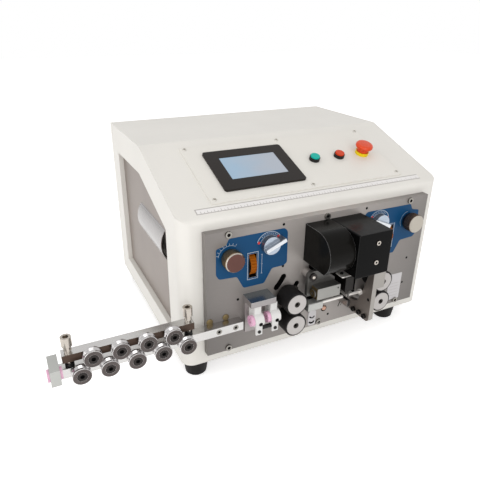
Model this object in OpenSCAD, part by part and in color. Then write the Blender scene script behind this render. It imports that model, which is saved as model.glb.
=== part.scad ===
// Bench-top machine that feeds, cuts and strips electrical wire.
// Modelled with x = 0 at the middle of the case, y = 0 at the case front and z = 0 at its underside,
// then moved so that the origin is under the middle of the whole machine, where the feet stand.

/* [Case] */
// Width of the case
case_w = 455; // [430:1:520]
// Depth of the case
case_d = 370; // [350:1:420]
// Height of the case without its feet
case_h = 295; // [285:1:330]
// Height of the upright front, up to the sloping face
front_h = 231; // [226:1:245]
// Depth over which the sloping face rises to the top
slope_d = 176; // [170:1:200]
// Sheet thickness of the case
case_wall = 2.5; // [1.5:0.1:4]
// Radius of the two upright front edges
front_edge_r = 18; // [10:1:24]
// Radius of the crease between the front and the sloping face
crease_r = 9; // [4:1:16]
// Distance from the case front to the side opening
opening_front = 57; // [50:1:70]
// Distance from the side opening to the slope, the top and the back
opening_rim = 46; // [40:1:60]
// Height of the side opening's lower edge
opening_bottom = 34; // [26:1:44]
// Depth of the recessed side panels
side_recess = 8.5; // [6:0.5:12]
// Thickness of the side panels
side_panel_t = 2; // [1:0.5:3]
// Thickness of the base plate
base_t = 4; // [3:0.5:8]

/* [Side handles] */
// Length of each handle
handle_len = 130; // [100:1:150]
// Height of each handle
handle_h = 50; // [40:1:60]
// How far the handle bows out from the side panel
handle_bow = 8; // [5:0.5:8.5]
// Sheet thickness of the handle
handle_t = 1.5; // [1:0.1:2]
// Distance from the case front to the handle
handle_y = 88; // [75:1:110]
// Height of the handle's middle
handle_z = 163; // [150:1:175]

/* [Feet] */
// Height of the rubber feet
foot_h = 28; // [18:1:40]
// Radius of a foot where it meets the base
foot_top_r = 20.5; // [15:0.5:24]
// Radius of a foot at the floor
foot_floor_r = 16.5; // [12:0.5:20]
// Distance from the left side to the left feet
foot_inset_left = 26; // [24:1:60]
// Distance from the right side to the right feet
foot_inset_right = 57; // [24:1:80]
// Distance of the feet from the case front and back
foot_inset_y = 24; // [24:1:60]

/* [Front plate] */
// Width of the front plate
plate_w = 391; // [385:1:400]
// Height of the front plate
plate_h = 195; // [190:1:198]
// Thickness of the front plate
plate_t = 12; // [8:0.5:16]
// Height of the front plate's lower edge
plate_z = 20.5; // [15:0.5:24]
// Radius of the fixing screws' shanks
screw_r = 3; // [2:0.5:4]

/* [Control panel] */
// Width of the control panel
panel_w = 339; // [334:1:350]
// Length of the control panel up the slope
panel_len = 139; // [134:1:145]
// Distance from the crease to the control panel
panel_s = 28; // [24:1:32]
// Thickness of the control panel
panel_t = 2; // [1:0.5:3]
// Width of the display housing
hmi_w = 136; // [130:1:140]
// Height of the display housing
hmi_h = 96; // [92:1:100]
// How far the display housing stands proud of the panel
hmi_proud = 3.5; // [3:0.5:8]
// Width of the screen
screen_w = 95; // [80:1:110]
// Height of the screen
screen_h = 54; // [45:1:65]
// Sideways place of the display's middle
hmi_x = -72.5; // [-75:0.5:-69]
// Radius of the start and stop caps
cap_r = 7.5; // [7:0.5:8]
// Travel of the start and stop caps
cap_travel = 3; // [2:0.5:3]
// Radius of the emergency stop's head
estop_r = 14.5; // [13.5:0.5:16]
// Travel of the emergency stop
estop_travel = 4; // [3:0.5:4]
// Sideways places of the start, stop and emergency stop controls
control_x = [37.5, 86, 133];

/* [Wire line] */
// Height of the wire line above the case underside
wire_z = 79.6; // [76:0.1:84]
// Distance of the wire line from the front plate's face
wire_out = 23.5; // [22:0.1:26]

/* [Feed rollers] */
// Sideways place of the feed pair, left of the cutter
feed_x = -70; // [-72:1:-68]
// Sideways place of the output pair, right of the cutter
output_x = 89; // [86:1:92]
// Radius of the rubber tyres
tyre_r = 17.8; // [16:0.1:18]
// Thickness of the rubber tyres
tyre_t = 2.5; // [1.5:0.1:4]
// Length of the tyres along their axis
tyre_len = 29; // [24:1:32]
// Gap between the two tyres of a pair with no wire in them
nip = 0.4; // [0.3:0.1:2]
// Radius of the roller shafts
shaft_r = 6; // [5:0.5:7]

/* [Roller adjustment] */
// Sideways place of the round knobs and arm pivots, either side of the middle
pivot_x = 160; // [158:1:164]
// Height of the round knobs and arm pivots
pivot_z = 176; // [172:1:180]
// Radius of the round knobs
round_knob_r = 14.5; // [12:0.5:18]
// Length of the round knobs
round_knob_len = 20; // [14:1:28]
// Sideways place of the release knobs, either side of the middle
release_x = 98; // [96:1:100]
// Height of the release knobs
release_z = 184.5; // [182:0.5:187]
// Radius of the release knobs' base
release_r = 13.5; // [11:0.5:15]
// Turn of a release knob in degrees
release_turn = 110; // [90:1:120]
// Radius of the cam on a release knob
cam_r = 9.5; // [8:0.5:11]
// Offset of the cam from its shaft
cam_e = 1.95; // [1.5:0.05:2.1]
// Radius of the pressure wheels
wheel_r = 17.8; // [16:0.1:19]
// Width of the pressure wheels
wheel_w = 9.5; // [7:0.5:10.5]
// Sideways place of the pressure wheels, either side of the middle
wheel_x = 124; // [122:0.5:126]
// Height of the pressure wheels
wheel_z = 155; // [152:1:157]

/* [Straightener] */
// Length of the lower bar, from the inlet block to its right end on the front plate
bar_len = 253.5; // [248:0.5:260]
// Distance from the machine's middle to the right end of the lower bar
bar_end_x = 145; // [143:1:148]
// Depth of the two bars
bar_d = 15; // [13:0.5:17]
// Height of the lower bar
lower_bar_h = 13.5; // [11:0.5:15]
// Height of the upper bar
upper_bar_h = 11; // [9:0.5:12.5]
// Outer radius of the straightening rollers
roller_r = 12; // [9:0.5:12]
// Length of the straightening rollers
roller_len = 12; // [10:0.5:14]
// Spacing of the rollers along a bar
roller_pitch = 35; // [33:0.5:35.5]
// Height between the two rows of rollers
row_gap = 21.6; // [20:0.1:24]
// Radius of the roller axles
axle_r = 4; // [3:0.5:4.5]
// Radius of the adjusting screws
adjust_r = 4.2; // [3:0.1:4.5]
// Width of the inlet block
inlet_w = 12; // [8:0.5:16]

/* [Cutter] */
// Sideways place of the blades
blade_x = 26; // [24:1:28]
// Travel of each blade
blade_travel = 6; // [4:0.5:6]
// Depth of the black covers from the front plate
cover_d = 70; // [66:1:76]
// Height of the black covers' upper edge
cover_top = 205; // [200:1:208]
// Height of the square cover's lower edge
cover_bottom = 138; // [136:1:142]
// Radius of the lead screw
lead_r = 6; // [5:0.5:7]
// Distance of the lead screw behind the front plate
lead_y = 34; // [32:1:40]

/* [Clearances] */
// Radial clearance of a running or sliding fit
run = 0.05; // [0.02:0.01:0.08]
// Gap between pieces that pass each other
gap = 0.4; // [0.3:0.1:0.6]

/* [Hidden] */
$fn = 64;

// Reach of a cut past the face it opens
cut = 1;
half_w = case_w / 2;
slope_angle = atan((case_h - front_h) / slope_d);
plate_front = -plate_t;
plate_top = plate_z + plate_h;
wire_y = plate_front - wire_out;

// Screws of the front plate: places across it and how far in from its edges
plate_screw_x = [-162, -2, 158];
plate_screw_inset = 5.2;
plate_head_r = screw_r + 1.9;
plate_head_h = 2.6;
// Screws of the control panel, in from its edges
panel_screw_inset = 7;
panel_screw_r = 1.5;
panel_head_r = 3.4;
panel_head_h = 1.6;

// The control panel's cut-outs
control_s = panel_s + 67;
hmi_s = panel_s + 67.5;
hmi_rim = 8;
hmi_back = 28;
screen_up = 1.5;
screen_t = 1.6;
collar_w = 1.3;
collar_h = 5.5;
collar_floor = 1;
cap_proud = 2.6;
button_body_r = 8;
button_body_len = 26;
button_stem_r = 4;
estop_neck_r = estop_r - 5;
estop_collar_h = 5.5;
estop_lift = collar_floor + estop_travel + gap;
estop_neck_h = estop_collar_h + estop_travel + gap - estop_lift;
estop_head_h = 14.6;
estop_bore = 10;
estop_stem_r = 5;

// Feed rollers
roller_axis = tyre_r + nip / 2;
lower_axis_z = wire_z - roller_axis;
upper_axis_z = wire_z + roller_axis;
hub_r = tyre_r - tyre_t;
tyre_y = wire_y - tyre_len / 2;
hub_lip = 1;
motor_y = 62;
motor_w = 57;
motor_len = 76;
motor_hole = 23.6;
shaft_in_motor = 16;

// Swing arms, which carry the upper rollers
arm_y = 24;
arm_t = 10;
pivot_r = 5;
pivot_hub_r = 14;
arm_end_r = 13;
arm_half_w = 11;
release_shaft_r = 4;
finger_h = 10;
cam_rise = 2 * cam_e * sin(release_turn / 2);
arm_lift = asin(cam_rise / (pivot_x - release_x));
finger_z = release_z + cam_r - cam_e * sin(release_turn / 2) + gap;
// The arm's guide pin, along the arm from its pivot, and the plain slot beside it
pin_r = 3.5;
pin_reach = 131;
pin_angle = -35;
pin_head_r = 5.5;
slot_reach = 101.7;
slot_angles = [-41, -30];
slot_half_w = 4.5;
// The slots' round ends are this much wider than the slots
slot_end = 0.15;

// Pressure wheels, in windows of the front plate
wheel_y = 1;
wheel_axle_r = 2.5;
window_w = wheel_w + 2.6;
window_h = 2 * wheel_r + 1.4;
ear_t = 4;
ear_d = 8;
ear_h = 14;

// Straightener
lower_row_z = wire_z - row_gap / 2;
upper_row_z = wire_z + row_gap / 2;
bar_front = plate_front - bar_d;
bar_right = -bar_end_x;
bar_left = bar_right - bar_len;
roller_y = wire_y + roller_len / 2;
axle_head_r = axle_r + 2;
axle_head_h = 3;
first_lower_x = bar_left + 24.5;
first_upper_x = first_lower_x + roller_pitch / 2 - 1.5;
lower_count = 5;
upper_count = 4;
upper_bar_left = bar_left + 5;
upper_bar_right = first_upper_x + (upper_count - 1) * roller_pitch + 33;
adjust_x = [upper_bar_left + 8.5, upper_bar_right - 6.5];
adjust_y = plate_front - bar_d / 2;
slide_down = 3;
slide_up = 2.5;
adjust_head_r = 6.7;
adjust_neck_r = 5;
adjust_head_h = 13;
adjust_neck_z = upper_row_z + upper_bar_h / 2 + slide_up + gap;
adjust_head_z = adjust_neck_z + 6.6;
adjust_depth = 8;
bar_screw_x = [bar_right - 38, bar_right - 12];
bar_screw_r = 2.5;
bar_head_r = 4.3;
bar_head_h = 4;

// Inlet block and the ceramic eyelets
inlet_left = bar_left - inlet_w;
inlet_below = 9.5;
inlet_above = 12;
inlet_front = wire_y - 12;
eyelet_bore_r = 3;
eyelet_body_r = 5.5;
eyelet_flange_r = 8.2;
eyelet_flange_t = 3;
machine_left = inlet_left - eyelet_flange_t;

// Guide block ahead of the feed rollers
guide_left = -139;
guide_right = -99;
guide_top = wire_z + 32;
guide_bottom = wire_z - 27.6;
guide_wall = 9;
guide_lid = 9;
guide_d = 27.5;
holder_r = 10;
holder_x = [[-134, -120], [-108, -93]];
holder_stem_w = 11;
guide_ring_t = 5;

// Nozzle behind the feed rollers
nozzle_x = [-45, -19];
nozzle_stem = [-41, -30];
nozzle_w = 16;
nozzle_h = 13;

// Cutter opening, bracket, covers and blades
opening_x = [-28, 66];
opening_z = [wire_z - 16, cover_bottom + 6];
bracket_left = 58;
bracket_w = 8;
bracket_d = 50;
bracket_foot = 36;
bracket_foot_r = 8;
bracket_tab = [14, 3, 28];
cover_wall = 2.5;
cover_left = 4;
cover_right = 62;
hood_left = -39;
hood_bottom = cover_bottom + 8;
hood_r = 33;
hood_d = cover_d - 4;
cover_screw_x = 38;
cover_screw_z = [158, 188.5];
cover_head_h = 1.5;
cover_screw_r = 2;
cover_head_r = 3.5;
holder_w = 15;
holder_h = 24;
holder_back = wire_y + 11;
holder_front = wire_y - 10;
blade_open = 3;
blade_notch = 6;
blade_t = 1.5;
blade_gap = 0.3;
blade_half_w = 10;
holder_stand = 14;
reach_w = 12;
reach_h = 20;
lower_arm_w = 6;
lower_arm_h = 10;
nut_half = 8;
lead_journal_r = 4;
lead_shelf_z = plate_z + 2 * plate_head_r + gap;
lead_shelf_t = 12;
motor_shelf_z = 150;
motor_shelf_t = 8;
cutter_motor_h = 56;
conduit_pivot = [-33.5, 126];
conduit_pivot_r = 4;
conduit_hub_r = 8.5;
conduit_front = wire_y - 12;
conduit_back = wire_y + 9.5;
conduit_t = 6;
conduit_right = 7.5;
conduit_z = wire_z + 23;
conduit_block_h = 18.6;
conduit_tube_r = 4.5;

// Rear inlet, switch and vents
inlet_x = -150;
inlet_z = 70;
inlet_flange = [52, 30];
inlet_flange_t = 3;
inlet_body = [46, 24];
inlet_deep = 30;
socket_size = [24, 16];
socket_deep = 16;
socket_dx = -9;
rocker_dx = 13;
rocker_w = 12;
rocker_r = 10;
rocker_pin_r = 1.5;
rocker_tilt = 10;
rocker_sink = 8;
vent_count = 9;
vent_pitch = 9;
vent_size = [90, 4];
vent_x = 80;
vent_z = 60;

// The whole machine's reach, for its origin
machine_front = plate_front - cover_d - cover_head_h;
machine_back = case_d + inlet_flange_t;
middle_x = (machine_left + half_w) / 2;
middle_y = (machine_front + machine_back) / 2;

// Outline of the case from the side: depth, height
side_outline = [[0, 0], [case_d, 0], [case_d, case_h], [slope_d, case_h], [0, front_h]];
opening_outline = inset(side_outline, [opening_bottom, opening_rim, opening_rim, opening_rim, opening_front]);

function unit(v) = v / norm(v);
function cross2(a, b) = a[0] * b[1] - a[1] * b[0];
function left_of(v) = [-v[1], v[0]];
function polar(r, a) = [r * cos(a), r * sin(a)];
function wrap(list, i) = list[(i + len(list)) % len(list)];

// Corner i of a convex outline whose edges all move inwards, each by its own distance
function inset_corner(points, d, i) =
  let (a = wrap(points, i - 1), b = points[i], c = wrap(points, i + 1))
  let (u = unit(b - a), v = unit(c - b))
  let (p = a + left_of(u) * wrap(d, i - 1), q = b + left_of(v) * d[i])
  p + u * cross2(q - p, v) / cross2(u, v);
function inset(points, d) = [for (i = [0:len(points) - 1]) inset_corner(points, d, i)];
function even(points, d) = inset(points, [for (p = points) d]);

// Convex outline with a round corner of the given radius at each point
module rounded(points, radii) {
  n = len(points);
  to_prev = [for (i = [0:n - 1]) unit(wrap(points, i - 1) - points[i])];
  to_next = [for (i = [0:n - 1]) unit(wrap(points, i + 1) - points[i])];
  half = [for (i = [0:n - 1]) acos(to_prev[i] * to_next[i]) / 2];
  polygon([for (i = [0:n - 1]) each radii[i] > 0
    ? [points[i] + to_prev[i] * radii[i] / tan(half[i]), points[i] + to_next[i] * radii[i] / tan(half[i])]
    : [points[i]]]);
  for (i = [0:n - 1])
    if (radii[i] > 0)
      translate(points[i] + unit(to_prev[i] + to_next[i]) * radii[i] / sin(half[i]))
        circle(r = radii[i]);
}

module round_box(w, h, r) {
  rounded([[-w / 2, -h / 2], [w / 2, -h / 2], [w / 2, h / 2], [-w / 2, h / 2]], [r, r, r, r]);
}

// Box between two opposite corners
module block(low, high) {
  translate(low)
    cube(high - low);
}

// Outline in depth and height, carried sideways from x0 to x1
module across(x0, x1) {
  translate([x0, 0, 0])
    rotate([90, 0, 90])
      linear_extrude(x1 - x0)
        children();
}

// Outline in width and height, carried from y0 back to y1
module upright(y0, y1) {
  translate([0, y1, 0])
    rotate([90, 0, 0])
      linear_extrude(y1 - y0)
        children();
}

// Rods along each axis
module rod_x(y, z, x0, x1, r) {
  translate([x0, y, z])
    rotate([0, 90, 0])
      cylinder(h = x1 - x0, r = r);
}

module rod_y(x, z, y0, y1, r) {
  translate([x, y1, z])
    rotate([90, 0, 0])
      cylinder(h = y1 - y0, r = r);
}

module rod_z(x, y, z0, z1, r) {
  translate([x, y, z0])
    cylinder(h = z1 - z0, r = r);
}

// Hexagon socket of a screw, cut inwards from z = 0
module hex_socket(r, depth) {
  translate([0, 0, -depth])
    cylinder(h = depth + cut, r = r, $fn = 6);
}

// Frame on the sloping face: x across, y up the slope, z out of it
module on_slope(x, s) {
  translate([x, s * cos(slope_angle), front_h + s * sin(slope_angle)])
    rotate([slope_angle, 0, 0])
      children();
}

// Both sides alike
module both_sides() {
  children();
  mirror([1, 0, 0])
    children();
}

// Arc-shaped slot in the front plate around the left pivot
module arc_slot(reach, angles, half_width) {
  translate([-pivot_x, pivot_z])
    difference() {
      intersection() {
        circle(r = reach + half_width, $fn = 128);
        polygon([[0, 0], polar(reach * 1.2, angles[0]), polar(reach * 1.2, angles[1])]);
      }
      circle(r = reach - half_width, $fn = 128);
    }
  for (a = angles)
    translate([-pivot_x, pivot_z] + polar(reach, a))
      circle(r = half_width + slot_end);
}

// Plan of the case, shrunk evenly
module plan(shrink) {
  r = front_edge_r - shrink;
  rounded([[-half_w + shrink, shrink], [half_w - shrink, shrink], [half_w - shrink, case_d - shrink],
    [-half_w + shrink, case_d - shrink]], [r, r, 0, 0]);
}

module case_body(shrink) {
  intersection() {
    across(-half_w, half_w)
      rounded(even(side_outline, shrink), [0, 0, 0, 0, crease_r]);
    translate([0, 0, shrink])
      linear_extrude(case_h)
        plan(shrink);
  }
}

module rear_vents() {
  for (i = [0:vent_count - 1])
    translate([vent_x - vent_size[0] / 2, case_d - case_wall - cut, vent_z + i * vent_pitch])
      cube([vent_size[0], case_wall + 2 * cut, vent_size[1]]);
}

// White sheet-metal case with flanged side openings, open underneath
module case_shell() {
  color("whitesmoke")
    difference() {
      union() {
        difference() {
          case_body(0);
          case_body(case_wall);
          linear_extrude(2 * case_wall + cut, center = true)
            plan(case_wall);
        }
        both_sides()
          across(-half_w, -half_w + side_recess)
            polygon(even(opening_outline, -case_wall));
      }
      across(-half_w - cut, half_w + cut)
        polygon(opening_outline);
      block([-plate_w / 2 + plate_head_r * 2, -cut, plate_z + 2 * plate_head_r],
        [plate_w / 2 - plate_head_r * 2, case_wall + cut, plate_top - 2 * plate_head_r]);
      on_slope(0, panel_s + panel_len / 2)
        cube([panel_w - 4 * panel_screw_inset, panel_len - 4 * panel_screw_inset, 4 * case_wall],
          center = true);
      panel_screws(panel_screw_r + run, 0, 2 * case_wall);
      plate_screws(screw_r + run, 0, 2 * case_wall);
      translate([inlet_x, case_d, inlet_z])
        cube([inlet_body[0] + 2 * run, 4 * case_wall, inlet_body[1] + 2 * run], center = true);
      rear_vents();
    }
}

module base_plate() {
  color("gray")
    linear_extrude(base_t)
      plan(case_wall + gap);
}

// Where the screws of the front plate go in, each shank from y0 back to y1
module plate_screws(r, y0, y1) {
  for (x = plate_screw_x, z = [plate_z + plate_screw_inset, plate_top - plate_screw_inset])
    rod_y(x, z, y0, y1, r);
}

// Where the screws of the control panel go in, from above it to below
module panel_screws(r, above, below) {
  for (x = [-1, 0, 1], s = [panel_s + panel_screw_inset, panel_s + panel_len - panel_screw_inset])
    on_slope(x * (panel_w / 2 - panel_screw_inset), s)
      translate([0, 0, -below])
        cylinder(h = above + below, r = r);
}

module side_panels() {
  color("darkgray")
    both_sides()
      difference() {
        across(-half_w + side_recess, -half_w + side_recess + side_panel_t)
          polygon(even(opening_outline, -4 * case_wall));
        block([-half_w, handle_y, handle_z - handle_h / 2 + 2 * handle_t],
          [-half_w + 2 * side_recess, handle_y + handle_len, handle_z + handle_h / 2 - 2 * handle_t]);
      }
}

// Bowed grips over a finger window in each side panel
module side_handles() {
  bow_r = (pow(handle_h / 2, 2) + pow(handle_bow, 2)) / (2 * handle_bow);
  color("silver")
    both_sides()
      intersection() {
        difference() {
          rod_y(-half_w + side_recess - handle_bow + bow_r, handle_z, handle_y, handle_y + handle_len, bow_r);
          rod_y(-half_w + side_recess - handle_bow + bow_r, handle_z, handle_y - cut,
            handle_y + handle_len + cut, bow_r - handle_t);
        }
        block([-half_w, handle_y, handle_z - handle_h / 2],
          [-half_w + side_recess, handle_y + handle_len, handle_z + handle_h / 2]);
      }
}

module rubber_feet() {
  color("black")
    for (x = [-half_w + foot_inset_left, half_w - foot_inset_right])
      for (y = [foot_inset_y, case_d - foot_inset_y])
        translate([x, y, -foot_h])
          rotate_extrude()
            polygon([[0, 0], [foot_floor_r - 2, 0], [foot_floor_r, 2], [foot_top_r, foot_h], [0, foot_h]]);
}

// Openings for one side's pressure wheel, knobs and swing arm, and for its roller shafts
module plate_side_cuts(axis_x) {
  upright(plate_front - cut, cut) {
    translate([-wheel_x, wheel_z])
      square([window_w, window_h], center = true);
    arc_slot(slot_reach, slot_angles, slot_half_w);
  }
  rod_x(wheel_y, wheel_z, -wheel_x - window_w, -wheel_x + window_w, wheel_axle_r + run);
  rod_y(-pivot_x, pivot_z, plate_front - cut, cut, pivot_r + run);
  rod_y(-release_x, release_z, plate_front - cut, cut, release_shaft_r + run);
  rod_y(axis_x, lower_axis_z, plate_front - cut, cut, shaft_r + run);
  lifted_shaft_hole(axis_x);
}

// Round opening that lets an upper shaft rise with its arm
module lifted_shaft_hole(axis_x) {
  pivot = [-pivot_x, pivot_z];
  reach = [axis_x, upper_axis_z] - pivot;
  half_lift = arm_lift / 2;
  middle = pivot + [reach[0] * cos(half_lift) - reach[1] * sin(half_lift),
    reach[0] * sin(half_lift) + reach[1] * cos(half_lift)];
  half_rise = norm(reach) * sin(half_lift);
  rod_y(middle[0], middle[1], plate_front - cut, cut, shaft_r + half_rise + gap);
}

// Ears that carry a pressure wheel behind its window
module wheel_ears() {
  for (side = [-1, 1])
    translate([-wheel_x + side * (window_w / 2 + gap + ear_t / 2), ear_d / 2 - cut / 2, wheel_z])
      cube([ear_t, ear_d + cut, ear_h], center = true);
}

module front_plate() {
  color("darkgray")
    difference() {
      union() {
        block([-plate_w / 2, plate_front, plate_z], [plate_w / 2, 0, plate_top]);
        both_sides()
          wheel_ears();
        block([blade_x - 2 * nut_half, -cut, lead_shelf_z],
          [blade_x + 2 * nut_half, lead_y + 2 * nut_half, lead_shelf_z + lead_shelf_t]);
      }
      plate_side_cuts(feed_x);
      upright(plate_front - cut, cut)
        arc_slot(pin_reach, [pin_angle - 1, pin_angle + arm_lift + 1], pin_r + gap);
      mirror([1, 0, 0])
        plate_side_cuts(-output_x);
      plate_screws(screw_r + run, plate_front - cut, cut);
      for (x = bar_screw_x)
        rod_y(x, lower_row_z, plate_front - cut, cut, bar_screw_r + run);
      upright(plate_front - cut, cut)
        translate([(opening_x[0] + opening_x[1]) / 2, (opening_z[0] + opening_z[1]) / 2])
          round_box(opening_x[1] - opening_x[0], opening_z[1] - opening_z[0], 4);
      rod_z(blade_x, lead_y, lead_shelf_z - cut, lead_shelf_z + lead_shelf_t + cut, lead_journal_r + run);
    }
}

// Seats for the display's back and the three controls
module control_panel() {
  color("white")
    difference() {
      on_slope(0, panel_s + panel_len / 2)
        linear_extrude(panel_t)
          round_box(panel_w, panel_len, 2);
      on_slope(hmi_x, hmi_s)
        cube([hmi_w - 2 * hmi_rim + 2 * gap, hmi_h - 2 * hmi_rim + 2 * gap, 4 * panel_t], center = true);
      for (x = control_x)
        on_slope(x, control_s)
          translate([0, 0, -cut])
            cylinder(h = panel_t + 2 * cut, r = button_body_r + run);
      panel_screws(panel_screw_r + run, panel_t + cut, cut);
    }
}

// One screw along -y: shank behind y, head in front of it with a hexagon socket
module face_screw(x, y, z, shank_r, shank_len, head_r, head_h) {
  translate([x, y, z])
    rotate([90, 0, 0])
      difference() {
        union() {
          cylinder(h = head_h, r = head_r);
          translate([0, 0, -shank_len])
            cylinder(h = shank_len, r = shank_r);
        }
        translate([0, 0, head_h])
          hex_socket(head_r * 0.55, head_h * 0.6);
      }
}

module fixing_screws() {
  color("silver") {
    for (x = plate_screw_x, z = [plate_z + plate_screw_inset, plate_top - plate_screw_inset])
      face_screw(x, plate_front, z, screw_r, plate_t + case_wall, plate_head_r, plate_head_h);
    for (x = bar_screw_x)
      face_screw(x, bar_front + bar_head_h, lower_row_z, bar_screw_r, bar_d - bar_head_h + plate_t,
        bar_head_r, bar_head_h);
    for (z = cover_screw_z)
      face_screw(cover_screw_x, plate_front - cover_d, z, cover_screw_r, cover_wall, cover_head_r,
        cover_head_h);
    for (x = [-1, 0, 1], s = [panel_s + panel_screw_inset, panel_s + panel_len - panel_screw_inset])
      on_slope(x * (panel_w / 2 - panel_screw_inset), s) {
        translate([0, 0, panel_t])
          cylinder(h = panel_head_h, r1 = panel_head_r, r2 = panel_head_r * 0.7);
        translate([0, 0, -case_wall])
          cylinder(h = panel_t + case_wall, r = panel_screw_r);
      }
  }
}

module hmi_housing() {
  color("dimgray")
    on_slope(hmi_x, hmi_s)
      difference() {
        union() {
          translate([0, 0, panel_t])
            linear_extrude(hmi_proud)
              round_box(hmi_w, hmi_h, 4);
          translate([0, 0, -hmi_back / 2 + panel_t / 2])
            cube([hmi_w - 2 * hmi_rim, hmi_h - 2 * hmi_rim, hmi_back + panel_t], center = true);
        }
        translate([0, screen_up, panel_t + hmi_proud])
          cube([screen_w, screen_h, 2 * screen_t], center = true);
      }
}

module hmi_screen() {
  color("lightsteelblue")
    on_slope(hmi_x, hmi_s)
      translate([0, screen_up, panel_t + hmi_proud - screen_t / 2 - gap / 2])
        cube([screen_w, screen_h, screen_t - gap], center = true);
}

// Collars of the start, stop and emergency stop controls, with their threaded bodies
module button_collars() {
  color("black")
    for (x = [control_x[0], control_x[1]])
      on_slope(x, control_s)
        difference() {
          union() {
            translate([0, 0, panel_t])
              cylinder(h = collar_h, r = cap_r + collar_w);
            translate([0, 0, -button_body_len])
              cylinder(h = button_body_len + panel_t, r = button_body_r);
          }
          translate([0, 0, panel_t + collar_floor])
            cylinder(h = collar_h + cut, r = cap_r + run);
          translate([0, 0, -button_body_len - cut])
            cylinder(h = button_body_len + panel_t + collar_floor + 2 * cut, r = button_stem_r + run);
        }
  color("gold")
    on_slope(control_x[2], control_s)
      difference() {
        union() {
          translate([0, 0, panel_t])
            cylinder(h = estop_collar_h, r = estop_neck_r + gap + collar_w);
          translate([0, 0, -button_body_len])
            cylinder(h = button_body_len + panel_t, r = button_body_r);
        }
        translate([0, 0, panel_t + collar_floor])
          cylinder(h = estop_collar_h + cut, r = estop_neck_r + gap);
        translate([0, 0, -button_body_len - cut])
          cylinder(h = button_body_len + panel_t + collar_floor + 2 * cut, r = estop_stem_r + run);
      }
}

// Cap and stem of a push button
module push_button(x) {
  on_slope(x, control_s) {
    translate([0, 0, panel_t + collar_floor + cap_travel + gap])
      cylinder(h = collar_h + cap_proud - collar_floor - cap_travel - gap, r = cap_r);
    translate([0, 0, -button_body_len + cap_travel])
      cylinder(h = button_body_len + panel_t + collar_floor + 2 * gap, r = button_stem_r);
  }
}

module start_button() {
  color("mediumseagreen")
    push_button(control_x[0]);
}

module stop_button() {
  color("crimson")
    push_button(control_x[1]);
}

module estop_plunger() {
  color("gray")
    on_slope(control_x[2], control_s)
      translate([0, 0, -button_body_len + estop_travel])
        cylinder(h = button_body_len - estop_travel + panel_t + estop_lift + estop_bore - 1,
          r = estop_stem_r);
}

// Mushroom head that turns on its plunger
module estop_head() {
  color("red")
    on_slope(control_x[2], control_s)
      translate([0, 0, panel_t + estop_lift])
        difference() {
          rotate_extrude()
            polygon([[0, 0], [estop_neck_r, 0], [estop_neck_r, estop_neck_h],
              [estop_r - 0.6, estop_neck_h + 3.2], [estop_r, estop_neck_h + 4.4],
              [estop_r, estop_head_h - 3.4], [estop_r - 1.2, estop_head_h - 1.6],
              [estop_r - 4, estop_head_h - 0.5], [0, estop_head_h]]);
          translate([0, 0, -cut])
            cylinder(h = estop_bore + cut, r = estop_stem_r + run);
        }
}

// Round knob whose shaft is also the pivot of a swing arm
module gap_knob() {
  color("rosybrown") {
    translate([-pivot_x, plate_front - gap, pivot_z])
      rotate([90, 0, 0])
        rotate_extrude()
          polygon([[0, 0], [round_knob_r - 2, 0], [round_knob_r - 2, 4], [round_knob_r, 5],
            [round_knob_r, round_knob_len - 1.2], [round_knob_r - 1.2, round_knob_len], [0, round_knob_len]]);
    rod_y(-pivot_x, pivot_z, plate_front - gap, arm_y + arm_t + 2, pivot_r);
  }
}

// Pointer knob with the cam that lifts a swing arm
module release_knob() {
  pointer_angle = 23;
  color("silver") {
    rod_y(-release_x, release_z, plate_front - gap - 9, plate_front - gap, release_r);
    translate([-release_x, plate_front - gap, release_z])
      rotate([90, -pointer_angle, 0])
        linear_extrude(15)
          translate([-release_r * 0.95, -2.75])
            square([release_r * 0.95 + 21, 5.5]);
    rod_y(-release_x, release_z, plate_front - gap, arm_y + arm_t, release_shaft_r);
    rod_y(-release_x + cam_e * cos(release_turn / 2), release_z - cam_e * sin(release_turn / 2), arm_y,
      arm_y + arm_t, cam_r);
  }
}

// Thumb wheel with finger notches round its rim
module pressure_wheel() {
  notch_count = 24;
  notch_r = 0.9;
  color("orange") {
    difference() {
      rod_x(wheel_y, wheel_z, -wheel_x - wheel_w / 2, -wheel_x + wheel_w / 2, wheel_r);
      for (i = [0:notch_count - 1]) {
        p = polar(wheel_r, 360 * i / notch_count);
        rod_x(wheel_y + p[0], wheel_z + p[1], -wheel_x - wheel_w, -wheel_x + wheel_w, notch_r);
      }
    }
    rod_x(wheel_y, wheel_z, -wheel_x - window_w / 2 - gap - ear_t, -wheel_x + window_w / 2 + gap + ear_t,
      wheel_axle_r);
  }
}

module gap_knob_left() {
  gap_knob();
}

module gap_knob_right() {
  mirror([1, 0, 0])
    gap_knob();
}

module release_knob_left() {
  release_knob();
}

module release_knob_right() {
  mirror([1, 0, 0])
    release_knob();
}

module pressure_wheel_left() {
  pressure_wheel();
}

module pressure_wheel_right() {
  mirror([1, 0, 0])
    pressure_wheel();
}

// Hub and shaft of a roller, back to y1
module roller_shaft(x, z, y1) {
  face = tyre_y - hub_lip;
  screw_sink = 1.2;
  color("gainsboro")
    difference() {
      union() {
        rod_y(x, z, face, tyre_y + tyre_len, hub_r);
        rod_y(x, z, tyre_y + tyre_len - cut, y1, shaft_r);
      }
      rod_y(x, z, face - cut, face + screw_sink, 4.5);
      translate([x, face + screw_sink, z])
        rotate([90, 0, 0])
          hex_socket(2.9, 4);
    }
}

module tyre(x, z) {
  color("black")
    difference() {
      rod_y(x, z, tyre_y, tyre_y + tyre_len, tyre_r);
      rod_y(x, z, tyre_y - cut, tyre_y + tyre_len + cut, hub_r);
    }
}

module feed_shaft_lower() {
  roller_shaft(feed_x, lower_axis_z, motor_y + shaft_in_motor);
}

module feed_shaft_upper() {
  roller_shaft(feed_x, upper_axis_z, arm_y + arm_t + 2);
}

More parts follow.
